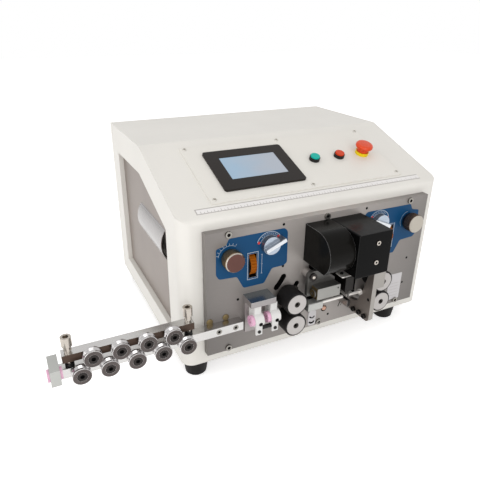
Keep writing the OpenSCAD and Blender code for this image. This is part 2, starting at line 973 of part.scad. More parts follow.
module output_shaft_lower() {
  roller_shaft(output_x, lower_axis_z, motor_y + shaft_in_motor);
}

module output_shaft_upper() {
  roller_shaft(output_x, upper_axis_z, arm_y + arm_t + 2);
}

module feed_tyre_lower() {
  tyre(feed_x, lower_axis_z);
}

module feed_tyre_upper() {
  tyre(feed_x, upper_axis_z);
}

module output_tyre_lower() {
  tyre(output_x, lower_axis_z);
}

module output_tyre_upper() {
  tyre(output_x, upper_axis_z);
}

// Arm behind the plate, from its pivot to an upper roller, with a finger over the cam;
// the left one also has a guide pin through an arc slot of the plate
module swing_arm(axis_x, pinned) {
  pivot = [-pivot_x, pivot_z];
  end = [axis_x, upper_axis_z];
  reach = norm(end - pivot);
  slant = atan2(end[1] - pivot[1], end[0] - pivot[0]);
  pin = pivot + polar(pin_reach, pin_angle);
  to_pin = atan2(pin[1] - end[1], pin[0] - end[0]);
  color("slategray") {
    difference() {
      upright(arm_y, arm_y + arm_t) {
        translate(pivot) {
          circle(r = pivot_hub_r);
          rotate(slant)
            translate([0, -arm_half_w])
              square([reach, 2 * arm_half_w]);
        }
        translate(end)
          circle(r = arm_end_r);
        if (pinned) {
          translate(end)
            rotate(to_pin)
              translate([0, -pin_r * 2])
                square([norm(pin - end), pin_r * 4]);
          translate(pin)
            circle(r = pin_r * 2);
        }
        translate([-pivot_x - pivot_hub_r, pivot_z])
          square([pivot_hub_r, finger_z + finger_h - pivot_z]);
        translate([-pivot_x - pivot_hub_r, finger_z])
          square([pivot_x + pivot_hub_r - release_x + cam_r, finger_h]);
      }
      rod_y(pivot[0], pivot[1], arm_y - cut, arm_y + arm_t + cut, pivot_r + run);
      rod_y(end[0], end[1], arm_y - cut, arm_y + arm_t + cut, shaft_r + run);
    }
    if (pinned) {
      rod_y(pin[0], pin[1], plate_front - gap, arm_y + cut, pin_r);
      rod_y(pin[0], pin[1], plate_front - gap - 4, plate_front - gap, pin_head_r);
    }
  }
}

module swing_arm_left() {
  swing_arm(feed_x, true);
}

module swing_arm_right() {
  mirror([1, 0, 0])
    swing_arm(-output_x, false);
}

// Screw that holds a straightening roller, from the bar's face
module roller_axle(x, z) {
  difference() {
    union() {
      rod_y(x, z, roller_y - roller_len, bar_front + cut, axle_r);
      rod_y(x, z, roller_y + run, bar_front + cut, axle_r + 2.5);
      rod_y(x, z, roller_y - roller_len, roller_y - roller_len + axle_head_h, axle_head_r);
    }
    translate([x, roller_y - roller_len, z])
      rotate([90, 0, 0])
        hex_socket(axle_r * 0.8, axle_head_h);
  }
}

module straightener_bar() {
  color("lightgray")
    difference() {
      union() {
        block([bar_left, bar_front, lower_row_z - lower_bar_h / 2],
          [bar_right, plate_front, lower_row_z + lower_bar_h / 2]);
        for (i = [0:lower_count - 1])
          roller_axle(first_lower_x + i * roller_pitch, lower_row_z);
      }
      for (x = adjust_x)
        rod_z(x, adjust_y, lower_row_z + lower_bar_h / 2 - adjust_depth, lower_row_z + lower_bar_h,
          adjust_r + run);
      for (x = bar_screw_x) {
        rod_y(x, lower_row_z, bar_front - cut, plate_front + cut, bar_screw_r + run);
        rod_y(x, lower_row_z, bar_front - cut, bar_front + bar_head_h, bar_head_r + run);
      }
    }
}

// Upper bar of the straightener, which the two adjusting screws raise and lower
module straightener_slide() {
  color("saddlebrown")
    difference() {
      union() {
        block([upper_bar_left, bar_front, upper_row_z - upper_bar_h / 2],
          [upper_bar_right, plate_front - gap, upper_row_z + upper_bar_h / 2]);
        for (i = [0:upper_count - 1])
          roller_axle(first_upper_x + i * roller_pitch, upper_row_z);
      }
      for (x = adjust_x)
        rod_z(x, adjust_y, upper_row_z - upper_bar_h, upper_row_z + upper_bar_h, adjust_r + run);
    }
}

// Grooved roller that turns on its axle
module straightening_roller(x, z) {
  flange = roller_len / 4;
  groove_r = roller_r - 3;
  color("dimgray")
    translate([x, roller_y, z])
      rotate([90, 0, 0])
        difference() {
          rotate_extrude()
            polygon([[axle_r + run, 0], [roller_r - 0.6, 0], [roller_r, 0.6], [roller_r, flange],
              [groove_r, roller_len / 2 - 0.5], [groove_r, roller_len / 2 + 0.5],
              [roller_r, roller_len - flange],
              [roller_r, roller_len - 0.6], [roller_r - 0.6, roller_len], [axle_r + run, roller_len]]);
          translate([0, 0, roller_len - axle_head_h - gap])
            cylinder(h = axle_head_h + gap + cut, r = axle_head_r + gap);
        }
}

module adjust_screw(x) {
  collar_z = lower_row_z + lower_bar_h / 2 + gap;
  collar_t = 4;
  color("wheat")
    difference() {
      union() {
        rod_z(x, adjust_y, collar_z - gap - adjust_depth + gap, adjust_head_z, adjust_r);
        rod_z(x, adjust_y, adjust_neck_z, adjust_head_z, adjust_neck_r);
        rod_z(x, adjust_y, adjust_head_z, adjust_head_z + adjust_head_h, adjust_head_r);
        rod_z(x, adjust_y, collar_z, collar_z + collar_t, adjust_r + 1.6);
      }
      translate([x, adjust_y, adjust_head_z + adjust_head_h])
        hex_socket(adjust_head_r * 0.6, adjust_head_h * 0.5);
    }
}

module adjust_screw_left() {
  adjust_screw(adjust_x[0]);
}

module adjust_screw_right() {
  adjust_screw(adjust_x[1]);
}

module inlet_block() {
  color("darkgray")
    difference() {
      block([inlet_left, inlet_front, wire_z - inlet_below], [bar_left, plate_front, wire_z + inlet_above]);
      rod_x(wire_y, wire_z, inlet_left - cut, bar_left + cut, eyelet_body_r);
    }
}

// Ceramic ring with a bore for the wire, its body along x from x0 to x1 and flanges at the ends given
module eyelet(x0, x1, flange_left, flange_right) {
  difference() {
    union() {
      rod_x(wire_y, wire_z, x0, x1, eyelet_body_r);
      if (flange_left > 0)
        rod_x(wire_y, wire_z, x0 - flange_left, x0, eyelet_flange_r);
      if (flange_right > 0)
        rod_x(wire_y, wire_z, x1, x1 + flange_right, eyelet_flange_r);
    }
    rod_x(wire_y, wire_z, x0 - flange_left - cut, x1 + flange_right + cut, eyelet_bore_r);
  }
}

module ceramic_eyelets() {
  color("pink") {
    eyelet(inlet_left, bar_left, eyelet_flange_t, eyelet_flange_t);
    for (h = holder_x)
      eyelet(h[0], h[1], guide_ring_t, 0);
  }
}

// Bracket whose back wall is on the front plate and whose lid carries the holders
module guide_block() {
  color("lightgray")
    across(guide_left, guide_right)
      polygon([[plate_front, guide_bottom], [plate_front, guide_top], [plate_front - guide_d, guide_top],
        [plate_front - guide_d, guide_top - guide_lid], [plate_front - guide_wall, guide_top - guide_lid],
        [plate_front - guide_wall, guide_bottom]]);
}

// White holders of the two guide rings, each with a foot tab, and the nozzle behind the feed rollers
module guide_holders() {
  tab = [10, 3, 15];
  color("white")
    for (h = holder_x) {
      stem_x = h[0] + 1;
      difference() {
        union() {
          rod_x(wire_y, wire_z, h[0], h[1], holder_r);
          block([stem_x, plate_front - guide_d + 2, wire_z],
            [stem_x + holder_stem_w, plate_front - guide_wall, guide_top - guide_lid]);
          block([stem_x, wire_y - holder_r + 1, wire_z - holder_r - tab[2] + 4],
            [stem_x + tab[0], wire_y - holder_r + 1 + tab[1], wire_z]);
        }
        rod_x(wire_y, wire_z, h[0] - cut, h[1] + cut, eyelet_body_r);
      }
    }
  color("white")
    difference() {
      union() {
        across(nozzle_x[0], nozzle_x[1])
          translate([wire_y, wire_z])
            round_box(nozzle_w, nozzle_h, 2);
        block([nozzle_stem[0], wire_y, wire_z - nozzle_h / 2], [nozzle_stem[1], plate_front, wire_z]);
      }
      rod_x(wire_y, wire_z, nozzle_x[0] - cut, nozzle_x[1] + cut, eyelet_bore_r);
    }
}

// Bracket on the front plate that reaches round the wire's path, its guard tab, and the arm's pivot stud
module cutter_frame() {
  front = plate_front - bracket_d;
  top = cover_bottom - gap;
  right = bracket_left + bracket_w;
  color("silver") {
    across(bracket_left, right)
      difference() {
        rounded([[plate_front, bracket_foot], [front, bracket_foot], [front, top], [plate_front, top]],
          [0, bracket_foot_r, 0, 0]);
        rounded([[plate_front + cut, wire_z - 25], [plate_front - 18, wire_z - 21],
          [plate_front - 26, wire_z - 2], [plate_front - 37, wire_z + 34], [plate_front - 38, top + cut],
          [plate_front + cut, top + cut]], [0, 12, 30, 30, 0, 0]);
      }
    block([right - cut, front, wire_z + 17],
      [right + bracket_tab[0], front + bracket_tab[1], wire_z + 17 + bracket_tab[2]]);
    stud_end = conduit_back - conduit_t - gap;
    rod_y(conduit_pivot[0], conduit_pivot[1], stud_end, plate_front, conduit_pivot_r);
    rod_y(conduit_pivot[0], conduit_pivot[1], conduit_back + gap, plate_front, conduit_pivot_r + 3);
    rod_y(conduit_pivot[0], conduit_pivot[1], stud_end - 3, stud_end, conduit_pivot_r + 2);
  }
}

// Outline of the rounded hood in depth and height, shrunk evenly
module hood_outline(shrink) {
  intersection() {
    union() {
      translate([plate_front - hood_d + hood_r, cover_top - hood_r])
        circle(r = hood_r - shrink, $fn = 128);
      translate([plate_front - hood_d + hood_r, hood_bottom - cut])
        square([hood_d - hood_r + cut, cover_top - shrink - hood_bottom + cut]);
    }
    translate([plate_front - hood_d, hood_bottom - 2 * cut * sign(shrink)])
      square([hood_d + cut * sign(shrink), hood_d]);
  }
}

// Rounded black guard over the conduit arm, open underneath and at the back
module cutter_hood() {
  color("black")
    difference() {
      across(hood_left, cover_left - gap)
        hood_outline(0);
      across(hood_left + cover_wall, cover_left - gap - cover_wall)
        hood_outline(cover_wall);
    }
}

// Square black cover over the blades, open underneath and at the back
module cutter_cover() {
  color("black")
    difference() {
      upright(plate_front - cover_d, plate_front)
        translate([(cover_left + cover_right) / 2, (cover_top + cover_bottom) / 2])
          round_box(cover_right - cover_left, cover_top - cover_bottom, 2);
      block([cover_left + cover_wall, plate_front - cover_d + cover_wall, cover_bottom - cut],
        [cover_right - cover_wall, plate_front + cut, cover_top - cover_wall]);
      for (z = cover_screw_z)
        rod_y(cover_screw_x, z, plate_front - cover_d - cut, plate_front - cover_d + cover_wall + cut,
          cover_screw_r + run);
    }
}

// Blade with a notched edge; up is 1 for the upper blade and -1 for the lower one
module blade(x0, up) {
  root_z = wire_z + up * (holder_stand + 1);
  tip_z = wire_z + up * blade_open;
  across(x0, x0 + blade_t)
    polygon([[wire_y - blade_half_w, root_z], [wire_y - blade_half_w, tip_z],
      [wire_y, tip_z + up * blade_notch], [wire_y + blade_half_w, tip_z], [wire_y + blade_half_w, root_z]]);
}

// Nut of a blade holder on the lead screw, from z0 up
module blade_nut(z0, h) {
  side = lead_r + nut_half / 2;
  block([blade_x - side, lead_y - side, z0], [blade_x + side, lead_y + side, z0 + h]);
}

// Block above the wire, its arm back through the plate's opening, and its nut
module upper_holder() {
  low = wire_z + holder_stand;
  reach_low = low + (holder_h - reach_h) / 2;
  difference() {
    union() {
      block([blade_x - holder_w / 2, holder_front, low],
        [blade_x + holder_w / 2, holder_back, low + holder_h]);
      block([blade_x - reach_w / 2, holder_back - cut, reach_low],
        [blade_x + reach_w / 2, lead_y, reach_low + reach_h]);
      blade_nut(reach_low, reach_h);
    }
    rod_z(blade_x, lead_y, low - holder_h, low + 2 * holder_h, lead_r + run);
  }
}

// Slim arm beside the lower blade, just above the opening's lower edge, and its nut
module lower_holder() {
  low = opening_z[0] + 2 * gap;
  left = blade_x + blade_gap / 2 + blade_t / 2;
  difference() {
    union() {
      block([left, wire_y - blade_half_w + 2, low], [left + lower_arm_w, lead_y, low + lower_arm_h]);
      blade_nut(low, lower_arm_h);
    }
    rod_z(blade_x, lead_y, low - lower_arm_h, low + 2 * lower_arm_h, lead_r + run);
  }
}

module upper_blade_holder() {
  color("darkslategray")
    upper_holder();
  color("silver")
    blade(blade_x - blade_t - blade_gap / 2, 1);
}

module lower_blade_holder() {
  color("darkslategray")
    lower_holder();
  color("silver")
    blade(blade_x + blade_gap / 2, -1);
}

// Lead screw with its lower journal in the plate's shelf and its upper one in the cutter motor
module lead_screw() {
  color("silver") {
    rod_z(blade_x, lead_y, lead_shelf_z + lead_shelf_t + gap, motor_shelf_z - gap, lead_r);
    rod_z(blade_x, lead_y, lead_shelf_z, motor_shelf_z + motor_shelf_t + shaft_in_motor, lead_journal_r);
  }
}

// Swinging wire tube in a block on a lug, between the feed rollers and the blades
module conduit_arm() {
  lug_front = conduit_back - conduit_t;
  tube_y = (conduit_front + lug_front) / 2;
  low = conduit_z - conduit_block_h / 2;
  lug_left = conduit_pivot[0] - conduit_hub_r;
  block_left = conduit_pivot[0];
  tube_left = block_left - 1.5;
  disc_t = 2.5;
  color("silver")
    difference() {
      union() {
        upright(lug_front, conduit_back)
          rounded([[lug_left, low], [conduit_right, low], [conduit_right, low + conduit_block_h + 5],
            [conduit_pivot[0] + conduit_hub_r + 6, conduit_pivot[1] + conduit_hub_r],
            [lug_left, conduit_pivot[1] + conduit_hub_r]], [2, 2, 3, 6, conduit_hub_r]);
        block([block_left, conduit_front, low], [conduit_right, lug_front + cut, low + conduit_block_h]);
        rod_x(tube_y, conduit_z, tube_left, conduit_right + 1, conduit_tube_r);
        rod_x(tube_y, conduit_z, tube_left - disc_t, tube_left, conduit_tube_r + 2);
      }
      rod_y(conduit_pivot[0], conduit_pivot[1], lug_front - cut, conduit_back + cut, conduit_pivot_r + run);
      rod_x(tube_y, conduit_z, tube_left - 8, conduit_right + 2, 2);
    }
}

// Square motor behind a lower roller, on four pillars
module feed_motor(x) {
  difference() {
    union() {
      block([x - motor_w / 2, motor_y, lower_axis_z - motor_w / 2],
        [x + motor_w / 2, motor_y + motor_len, lower_axis_z + motor_w / 2]);
      for (dx = [-motor_hole, motor_hole], dz = [-motor_hole, motor_hole])
        rod_y(x + dx, lower_axis_z + dz, 0, motor_y + cut, 4);
    }
    rod_y(x, lower_axis_z, motor_y - cut, motor_y + shaft_in_motor + cut, shaft_r + run);
  }
}

module cutter_motor() {
  shelf_half = motor_w / 2;
  difference() {
    union() {
      block([blade_x - shelf_half, 0, motor_shelf_z],
        [blade_x + shelf_half, lead_y + shelf_half, motor_shelf_z + motor_shelf_t]);
      block([blade_x - shelf_half, lead_y - shelf_half, motor_shelf_z + motor_shelf_t],
        [blade_x + shelf_half, lead_y + shelf_half, motor_shelf_z + motor_shelf_t + cutter_motor_h]);
    }
    rod_z(blade_x, lead_y, motor_shelf_z - cut, motor_shelf_z + motor_shelf_t + shaft_in_motor + cut,
      lead_journal_r + run);
  }
}

module stepper_motors() {
  color("dimgray") {
    feed_motor(feed_x);
    feed_motor(output_x);
    cutter_motor();
  }
}

// Circuit board with its main parts, on pillars from the base
module control_board() {
  board = [170, 110, 1.6];
  board_y = 180;
  board_x = 20;
  stand = 8;
  translate([board_x, board_y, base_t]) {
    color("darkgreen") {
      translate([0, 0, stand])
        cube(board);
      for (x = [6, board[0] - 6], y = [6, board[1] - 6])
        translate([x, y, 0])
          cylinder(h = stand, r = 3);
    }
    color("black") {
      translate([20, 20, stand + board[2]])
        cube([35, 35, 4]);
      for (i = [0:2])
        translate([70 + 30 * i, 15, stand + board[2]])
          cube([22, 45, 18]);
      translate([15, 85, stand + board[2]])
        cube([140, 12, 10]);
    }
  }
}

// Mains power supply on the base
module power_supply() {
  color("lightgray")
    translate([-200, 170, base_t])
      cube([98, 170, 38]);
}

// Rear socket and switch frame, with a flange outside the case
module mains_inlet() {
  color("black")
    translate([inlet_x, case_d, inlet_z])
      difference() {
        union() {
          translate([0, inlet_flange_t / 2, 0])
            cube([inlet_flange[0], inlet_flange_t, inlet_flange[1]], center = true);
          translate([0, -inlet_deep / 2, 0])
            cube([inlet_body[0], inlet_deep, inlet_body[1]], center = true);
        }
        translate([socket_dx, inlet_flange_t - socket_deep / 2 + cut / 2, 0])
          cube([socket_size[0], socket_deep + cut, socket_size[1]], center = true);
        translate([rocker_dx - rocker_w / 2 - gap, -rocker_sink, 0])
          rotate([0, 90, 0])
            cylinder(h = rocker_w + 2 * gap, r = rocker_r + gap);
        translate([rocker_dx - rocker_w / 2 - 3, -rocker_sink, 0])
          rotate([0, 90, 0])
            cylinder(h = rocker_w + 6, r = rocker_pin_r + run);
      }
}

// Switch rocker, round at its pivot with a shallow dished face
module power_rocker() {
  face = rocker_r * 2;
  color("darkred")
    translate([inlet_x + rocker_dx, case_d - rocker_sink, inlet_z])
      rotate([rocker_tilt, 0, 0]) {
        difference() {
          rotate([0, 90, 0])
            cylinder(h = rocker_w, r = rocker_r, center = true);
          translate([0, rocker_r + face * 1.6, 0])
            rotate([0, 90, 0])
              cylinder(h = rocker_w + cut, r = face * 1.6 + 1.6, center = true);
        }
        rotate([0, 90, 0])
          cylinder(h = rocker_w + 5, r = rocker_pin_r, center = true);
      }
}

module lower_roller(i) {
  straightening_roller(first_lower_x + (i - 1) * roller_pitch, lower_row_z);
}

module upper_roller(i) {
  straightening_roller(first_upper_x + (i - 1) * roller_pitch, upper_row_z);
}

// Moves a piece from the case's own frame to the machine's origin
module place() {
  translate([-middle_x, -middle_y, foot_h])
    children();
}

place() case_shell();
place() base_plate();
place() side_panels();
place() side_handles();
place() rubber_feet();
place() front_plate();
place() control_panel();
place() fixing_screws();
place() hmi_housing();
place() hmi_screen();
place() button_collars();
place() straightener_bar();
place() inlet_block();
place() ceramic_eyelets();
place() guide_block();
place() guide_holders();
place() cutter_frame();
place() cutter_hood();
place() cutter_cover();
place() stepper_motors();
place() control_board();
place() power_supply();
place() mains_inlet();
place() start_button();
place() stop_button();
place() estop_plunger();
place() estop_head();
place() gap_knob_left();
place() gap_knob_right();
place() release_knob_left();
place() release_knob_right();
place() pressure_wheel_left();
place() pressure_wheel_right();
place() feed_shaft_lower();
place() feed_shaft_upper();
place() output_shaft_lower();
place() output_shaft_upper();
place() feed_tyre_lower();
place() feed_tyre_upper();
place() output_tyre_lower();
place() output_tyre_upper();
place() swing_arm_left();
place() swing_arm_right();
place() straightener_slide();
place() adjust_screw_left();
place() adjust_screw_right();
for (i = [1:lower_count])
  place() lower_roller(i);
for (i = [1:upper_count])
  place() upper_roller(i);
place() upper_blade_holder();
place() lower_blade_holder();
place() lead_screw();
place() conduit_arm();
place() power_rocker();
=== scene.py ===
"""Looks of the wire cutting and stripping machine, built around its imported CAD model.

Numbers are millimetres in the machine's own frame unless a line says otherwise: x from the case's
middle to the right, y from the case's front to the back, z up from the case's underside.
"""

import math

import bmesh
import bpy
from mathutils import Matrix, Vector


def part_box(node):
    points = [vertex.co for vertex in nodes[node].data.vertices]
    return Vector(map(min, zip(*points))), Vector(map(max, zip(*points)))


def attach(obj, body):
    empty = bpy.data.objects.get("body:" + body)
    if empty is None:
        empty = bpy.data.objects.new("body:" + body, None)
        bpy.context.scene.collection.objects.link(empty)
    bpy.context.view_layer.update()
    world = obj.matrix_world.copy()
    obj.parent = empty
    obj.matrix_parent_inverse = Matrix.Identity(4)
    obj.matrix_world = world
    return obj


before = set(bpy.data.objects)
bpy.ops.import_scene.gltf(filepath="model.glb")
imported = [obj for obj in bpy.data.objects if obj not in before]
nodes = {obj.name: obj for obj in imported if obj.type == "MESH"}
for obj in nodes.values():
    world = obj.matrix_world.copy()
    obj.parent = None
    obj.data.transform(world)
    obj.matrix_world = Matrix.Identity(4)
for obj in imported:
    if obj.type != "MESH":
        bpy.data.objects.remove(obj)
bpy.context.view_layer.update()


# The machine's frame in the scene

MM = 0.001
X, Y, Z = (1, 0, 0), (0, 1, 0), (0, 0, 1)
LEFTWARD, FRONTWARD = (-1, 0, 0), (0, -1, 0)
case_low, case_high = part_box("case_shell")
ORIGIN = Vector(((case_low.x + case_high.x) / 2, case_low.y, case_low.z))
SLOPE_FOOT = 231
SLOPE_RISE, SLOPE_RUN = 64, 176
SLOPE = math.atan2(SLOPE_RISE, SLOPE_RUN)


def at(x, y, z):
    """A point of the machine's frame in the scene."""
    return ORIGIN + Vector((x, y, z)) * MM


def span(node):
    """Lowest and highest corner of a CAD node's box."""
    return [(corner - ORIGIN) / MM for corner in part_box(node)]


def middle(node):
    """Middle of a CAD node's box."""
    low, high = span(node)
    return (low + high) / 2


PLATE_Y = span("front_plate")[0].y


def basis(origin, right, up, out):
    """Matrix from a flat drawing in millimetres to the scene."""
    m = Matrix((right, up, out)).transposed().to_4x4() @ Matrix.Scale(MM, 4)
    m.translation = origin
    return m


def facing_front(x, y, z):
    """Drawing on a face towards the front, its zero at the point given: x across, y up."""
    return basis(at(x, y, z), X, Z, FRONTWARD)


def on_plate(out=0.0):
    """Drawing on the front plate, or that far in front of it."""
    return facing_front(0, PLATE_Y - out, 0)


def facing_left(x, y, z):
    """Drawing on a face towards the left."""
    return basis(at(x, y, z), FRONTWARD, Z, LEFTWARD)


def facing_right(x, y, z):
    """Drawing on a face towards the right."""
    return basis(at(x, y, z), Y, Z, X)


def facing_up(x, y, z):
    """Drawing on a level face."""
    return basis(at(x, y, z), X, Y, Z)


def on_slope(out=0.0):
    """Drawing on the sloping face, or that far out of it: x across, y up the slope."""
    c, k = math.cos(SLOPE), math.sin(SLOPE)
    return basis(at(0, -out * k, SLOPE_FOOT + out * c), X, (0, c, k), (0, -k, c))


# Materials

MIX_A, MIX_B, MIX_OUT = 6, 7, 2  # colour sockets of a Mix node
COAT_ROUGHNESS = 0.12
ROUGHNESS_SPREAD = 0.06
EDGE_SAMPLES = 6


def feed(tree, socket, source):
    """Links a socket to another node's output, or sets its own value."""
    if isinstance(source, bpy.types.NodeSocket):
        tree.links.new(source, socket)
    else:
        socket.default_value = source


def add(tree, kind, **inputs):
    """A new shader node with its inputs fed by name."""
    node = tree.nodes.new(kind)
    for name, source in inputs.items():
        feed(tree, node.inputs[name.replace("_", " ")], source)
    return node


def spread(tree, value, **limits):
    """A value carried from one range to another, within its limits."""
    return add(tree, "ShaderNodeMapRange", Value=value, **limits).outputs["Result"]


def reckon(tree, operation, first, second=0.0, clamp=False):
    """Result of a Math node."""
    node = tree.nodes.new("ShaderNodeMath")
    node.operation = operation
    node.use_clamp = clamp
    feed(tree, node.inputs[0], first)
    feed(tree, node.inputs[1], second)
    return node.outputs["Value"]


def mix(tree, factor, first, second, blend="MIX"):
    """A mix of two colours."""
    node = tree.nodes.new("ShaderNodeMix")
    node.data_type = "RGBA"
    node.blend_type = blend
    feed(tree, node.inputs["Factor"], factor)
    feed(tree, node.inputs[MIX_A], first)
    feed(tree, node.inputs[MIX_B], second)
    return node.outputs[MIX_OUT]


def shade(colour, factor):
    """A colour made lighter or darker, with its alpha."""
    return tuple(min(1.0, c * factor) for c in colour[:3]) + (1.0,)


def finish(name, colour, rough, metal=0.0, fleck=0.06, size=0.8, stretch=(1, 1, 1), bump=0.08,
           depth=0.05, edge=0.5, coat=0.0, cloud=0.05, edge_wear_and_light=0.0, spec=0.5, lip=None):
    """A surface with fine grain, broad clouding, softened edges and, if asked, edges of another
    tone, which stand for wear and a painted highlight, and for painted shade where lip is dark.
    size is the grain's size, depth its height and edge the edges' radius; lip is the edges' own
    colour, without which they are a brighter shade of the surface's."""
    mat = bpy.data.materials.new(name)
    mat.use_nodes = True
    t = mat.node_tree
    shader = t.nodes["Principled BSDF"]
    shader.inputs["Metallic"].default_value = metal
    shader.inputs["Specular IOR Level"].default_value = spec
    shader.inputs["Coat Weight"].default_value = coat
    shader.inputs["Coat Roughness"].default_value = COAT_ROUGHNESS
    place = add(t, "ShaderNodeTexCoord").outputs["Object"]
    stretched = add(t, "ShaderNodeMapping", Vector=place, Scale=stretch).outputs["Vector"]
    grain = add(t, "ShaderNodeTexNoise", Vector=stretched, Scale=1 / (size * MM), Detail=3.0,
                Roughness=0.6).outputs["Fac"]
    broad = add(t, "ShaderNodeTexNoise", Vector=place, Scale=14.0, Detail=2.0,
                Roughness=0.5).outputs["Fac"]

    tone = mix(t, grain, shade(colour, 1 - fleck), shade(colour, 1 + fleck))
    clouding = spread(t, broad, From_Min=0.3, From_Max=0.7, To_Min=1 - cloud, To_Max=1.0)
    tone = mix(t, 1.0, tone, clouding, "MULTIPLY")
    bevel = add(t, "ShaderNodeBevel", Radius=edge * MM)
    bevel.samples = EDGE_SAMPLES
    # Edges of another tone: pale ones are wear and a painted highlight, dark ones painted shade
    if edge_wear_and_light:
        bend = t.nodes.new("ShaderNodeVectorMath")
        bend.operation = "DOT_PRODUCT"
        feed(t, bend.inputs[0], bevel.outputs["Normal"])
        feed(t, bend.inputs[1], add(t, "ShaderNodeNewGeometry").outputs["Normal"])
        at_edge = spread(t, bend.outputs["Value"], From_Min=0.98, From_Max=0.8, To_Min=0.0,
                         To_Max=edge_wear_and_light)
        bright = shade(lip, 1.0) if lip else shade(colour, 1.0 + 2.5 * edge_wear_and_light)
        tone = mix(t, at_edge, tone, bright)
    feed(t, shader.inputs["Base Color"], tone)

    gloss = spread(t, grain, To_Min=max(0.02, rough - ROUGHNESS_SPREAD),
                   To_Max=min(1.0, rough + ROUGHNESS_SPREAD))
    feed(t, shader.inputs["Roughness"], gloss)
    raised = add(t, "ShaderNodeBump", Strength=bump, Distance=depth * MM, Height=grain,
                 Normal=bevel.outputs["Normal"])
    feed(t, shader.inputs["Normal"], raised.outputs["Normal"])
    return mat


ALONG_X, ALONG_Y = (0.05, 1, 1), (1, 0.05, 1)  # grain drawn out along an axis
WHITE = finish("white_coat", (0.775, 0.755, 0.712), 0.42, fleck=0.02, size=0.9, bump=0.10, edge=1.2,
               cloud=0.03, spec=0.3)
PANEL_WHITE = finish("panel_white", (0.77, 0.748, 0.70), 0.40, fleck=0.02, size=0.7, edge=0.6,
                     cloud=0.02, spec=0.3)
SIDE_GREY = finish("side_grey", (0.258, 0.217, 0.192), 0.42, metal=0.15, fleck=0.05, size=0.9,
                   cloud=0.12, edge=0.6)
PLATE_GREY = finish("plate_grey", (0.245, 0.225, 0.212), 0.40, metal=0.2, fleck=0.08, size=0.5,
                    stretch=ALONG_X, cloud=0.08, edge=1.0, edge_wear_and_light=0.3)
# Bracket of the cutter: its pale lip is a painted highlight on its edges; the lighter material
# below goes on its front and right faces as painted light
BRACKET = finish("bracket_grey", (0.195, 0.168, 0.15), 0.36, metal=0.5, fleck=0.15, size=0.6,
                 edge=0.8, cloud=0.2, edge_wear_and_light=0.8, lip=(0.5, 0.48, 0.45))
BRACKET_LIT_FACE = finish("bracket_lit_face", (0.36, 0.34, 0.315), 0.36, metal=0.3, fleck=0.10, size=0.6,
                      edge=0.6, cloud=0.15, edge_wear_and_light=0.4)
BRIGHT = finish("machined_aluminium", (0.56, 0.55, 0.54), 0.24, metal=1.0, fleck=0.10, size=0.6,
                stretch=ALONG_X, edge=0.5, edge_wear_and_light=0.2)
# Pale; on the floor of the cutter's opening it is a painted highlight
CUT_EDGE = finish("cut_edge", (0.78, 0.75, 0.70), 0.45, fleck=0.10, size=0.6, stretch=ALONG_X,
                  edge=0.3, cloud=0.1)
SATIN = finish("satin_aluminium", (0.46, 0.465, 0.445), 0.38, metal=0.5, fleck=0.08, size=0.5,
               edge=0.6, cloud=0.10, edge_wear_and_light=0.25)
# Pointer knobs: the ridge's top gets this brighter metal as a painted highlight, the sides a darker
# one as painted shade, and the face's pale lip is a painted highlight
POLISHED = finish("polished_aluminium", (0.62, 0.64, 0.67), 0.20, metal=0.9, fleck=0.12, size=0.6,
                  stretch=ALONG_X, edge=0.4, cloud=0.12, edge_wear_and_light=0.3)
KNOB_FACE = finish("knob_face", (0.40, 0.455, 0.53), 0.22, metal=0.9, fleck=0.25, size=1.2,
                   stretch=ALONG_X, edge=0.5, cloud=0.2, edge_wear_and_light=0.5, lip=(0.7, 0.72, 0.75))
KNOB_SIDE = finish("knob_side", (0.26, 0.27, 0.29), 0.30, metal=0.9, fleck=0.2, size=0.9, edge=0.4,
                   edge_wear_and_light=0.6)
DULL = finish("dull_aluminium", (0.34, 0.31, 0.305), 0.36, metal=0.6, fleck=0.10, size=0.5,
              stretch=ALONG_X, edge=0.6, edge_wear_and_light=0.5)
# Lid of the guide block: its top's lighter, bluer tone is a painted reflection and its front's pale
# lip a painted highlight
LID = finish("polished_lid", (0.36, 0.40, 0.43), 0.22, metal=0.9, fleck=0.15, size=0.9, edge=0.6,
             cloud=0.35, edge_wear_and_light=0.8, lip=(0.7, 0.7, 0.72))
LID_FRONT = finish("lid_front", (0.33, 0.31, 0.31), 0.30, metal=0.6, fleck=0.1, size=0.6, edge=0.9,
                   edge_wear_and_light=0.9, lip=(0.75, 0.74, 0.74))
BROWN = finish("brown_slide", (0.075, 0.047, 0.034), 0.30, metal=0.5, fleck=0.2, size=0.6,
               stretch=ALONG_X, edge=0.5, cloud=0.3, edge_wear_and_light=0.5, spec=0.3)
STEEL = finish("ground_steel", (0.45, 0.44, 0.43), 0.28, metal=1.0, fleck=0.10, size=0.5,
               stretch=ALONG_X, edge=0.5, edge_wear_and_light=0.25)
STAINLESS = finish("stainless", (0.365, 0.352, 0.347), 0.25, metal=1.0, fleck=0.06, size=0.6,
                   stretch=ALONG_Y, edge=0.8, cloud=0.12, edge_wear_and_light=0.3)
DARK_STEEL = finish("dark_steel", (0.055, 0.05, 0.046), 0.35, metal=0.9, fleck=0.15, size=0.7,
                    edge=0.5, edge_wear_and_light=0.7)
NICKEL = finish("nickel", (0.47, 0.43, 0.385), 0.20, metal=1.0, fleck=0.08, size=0.8, edge=0.4,
                edge_wear_and_light=0.3)
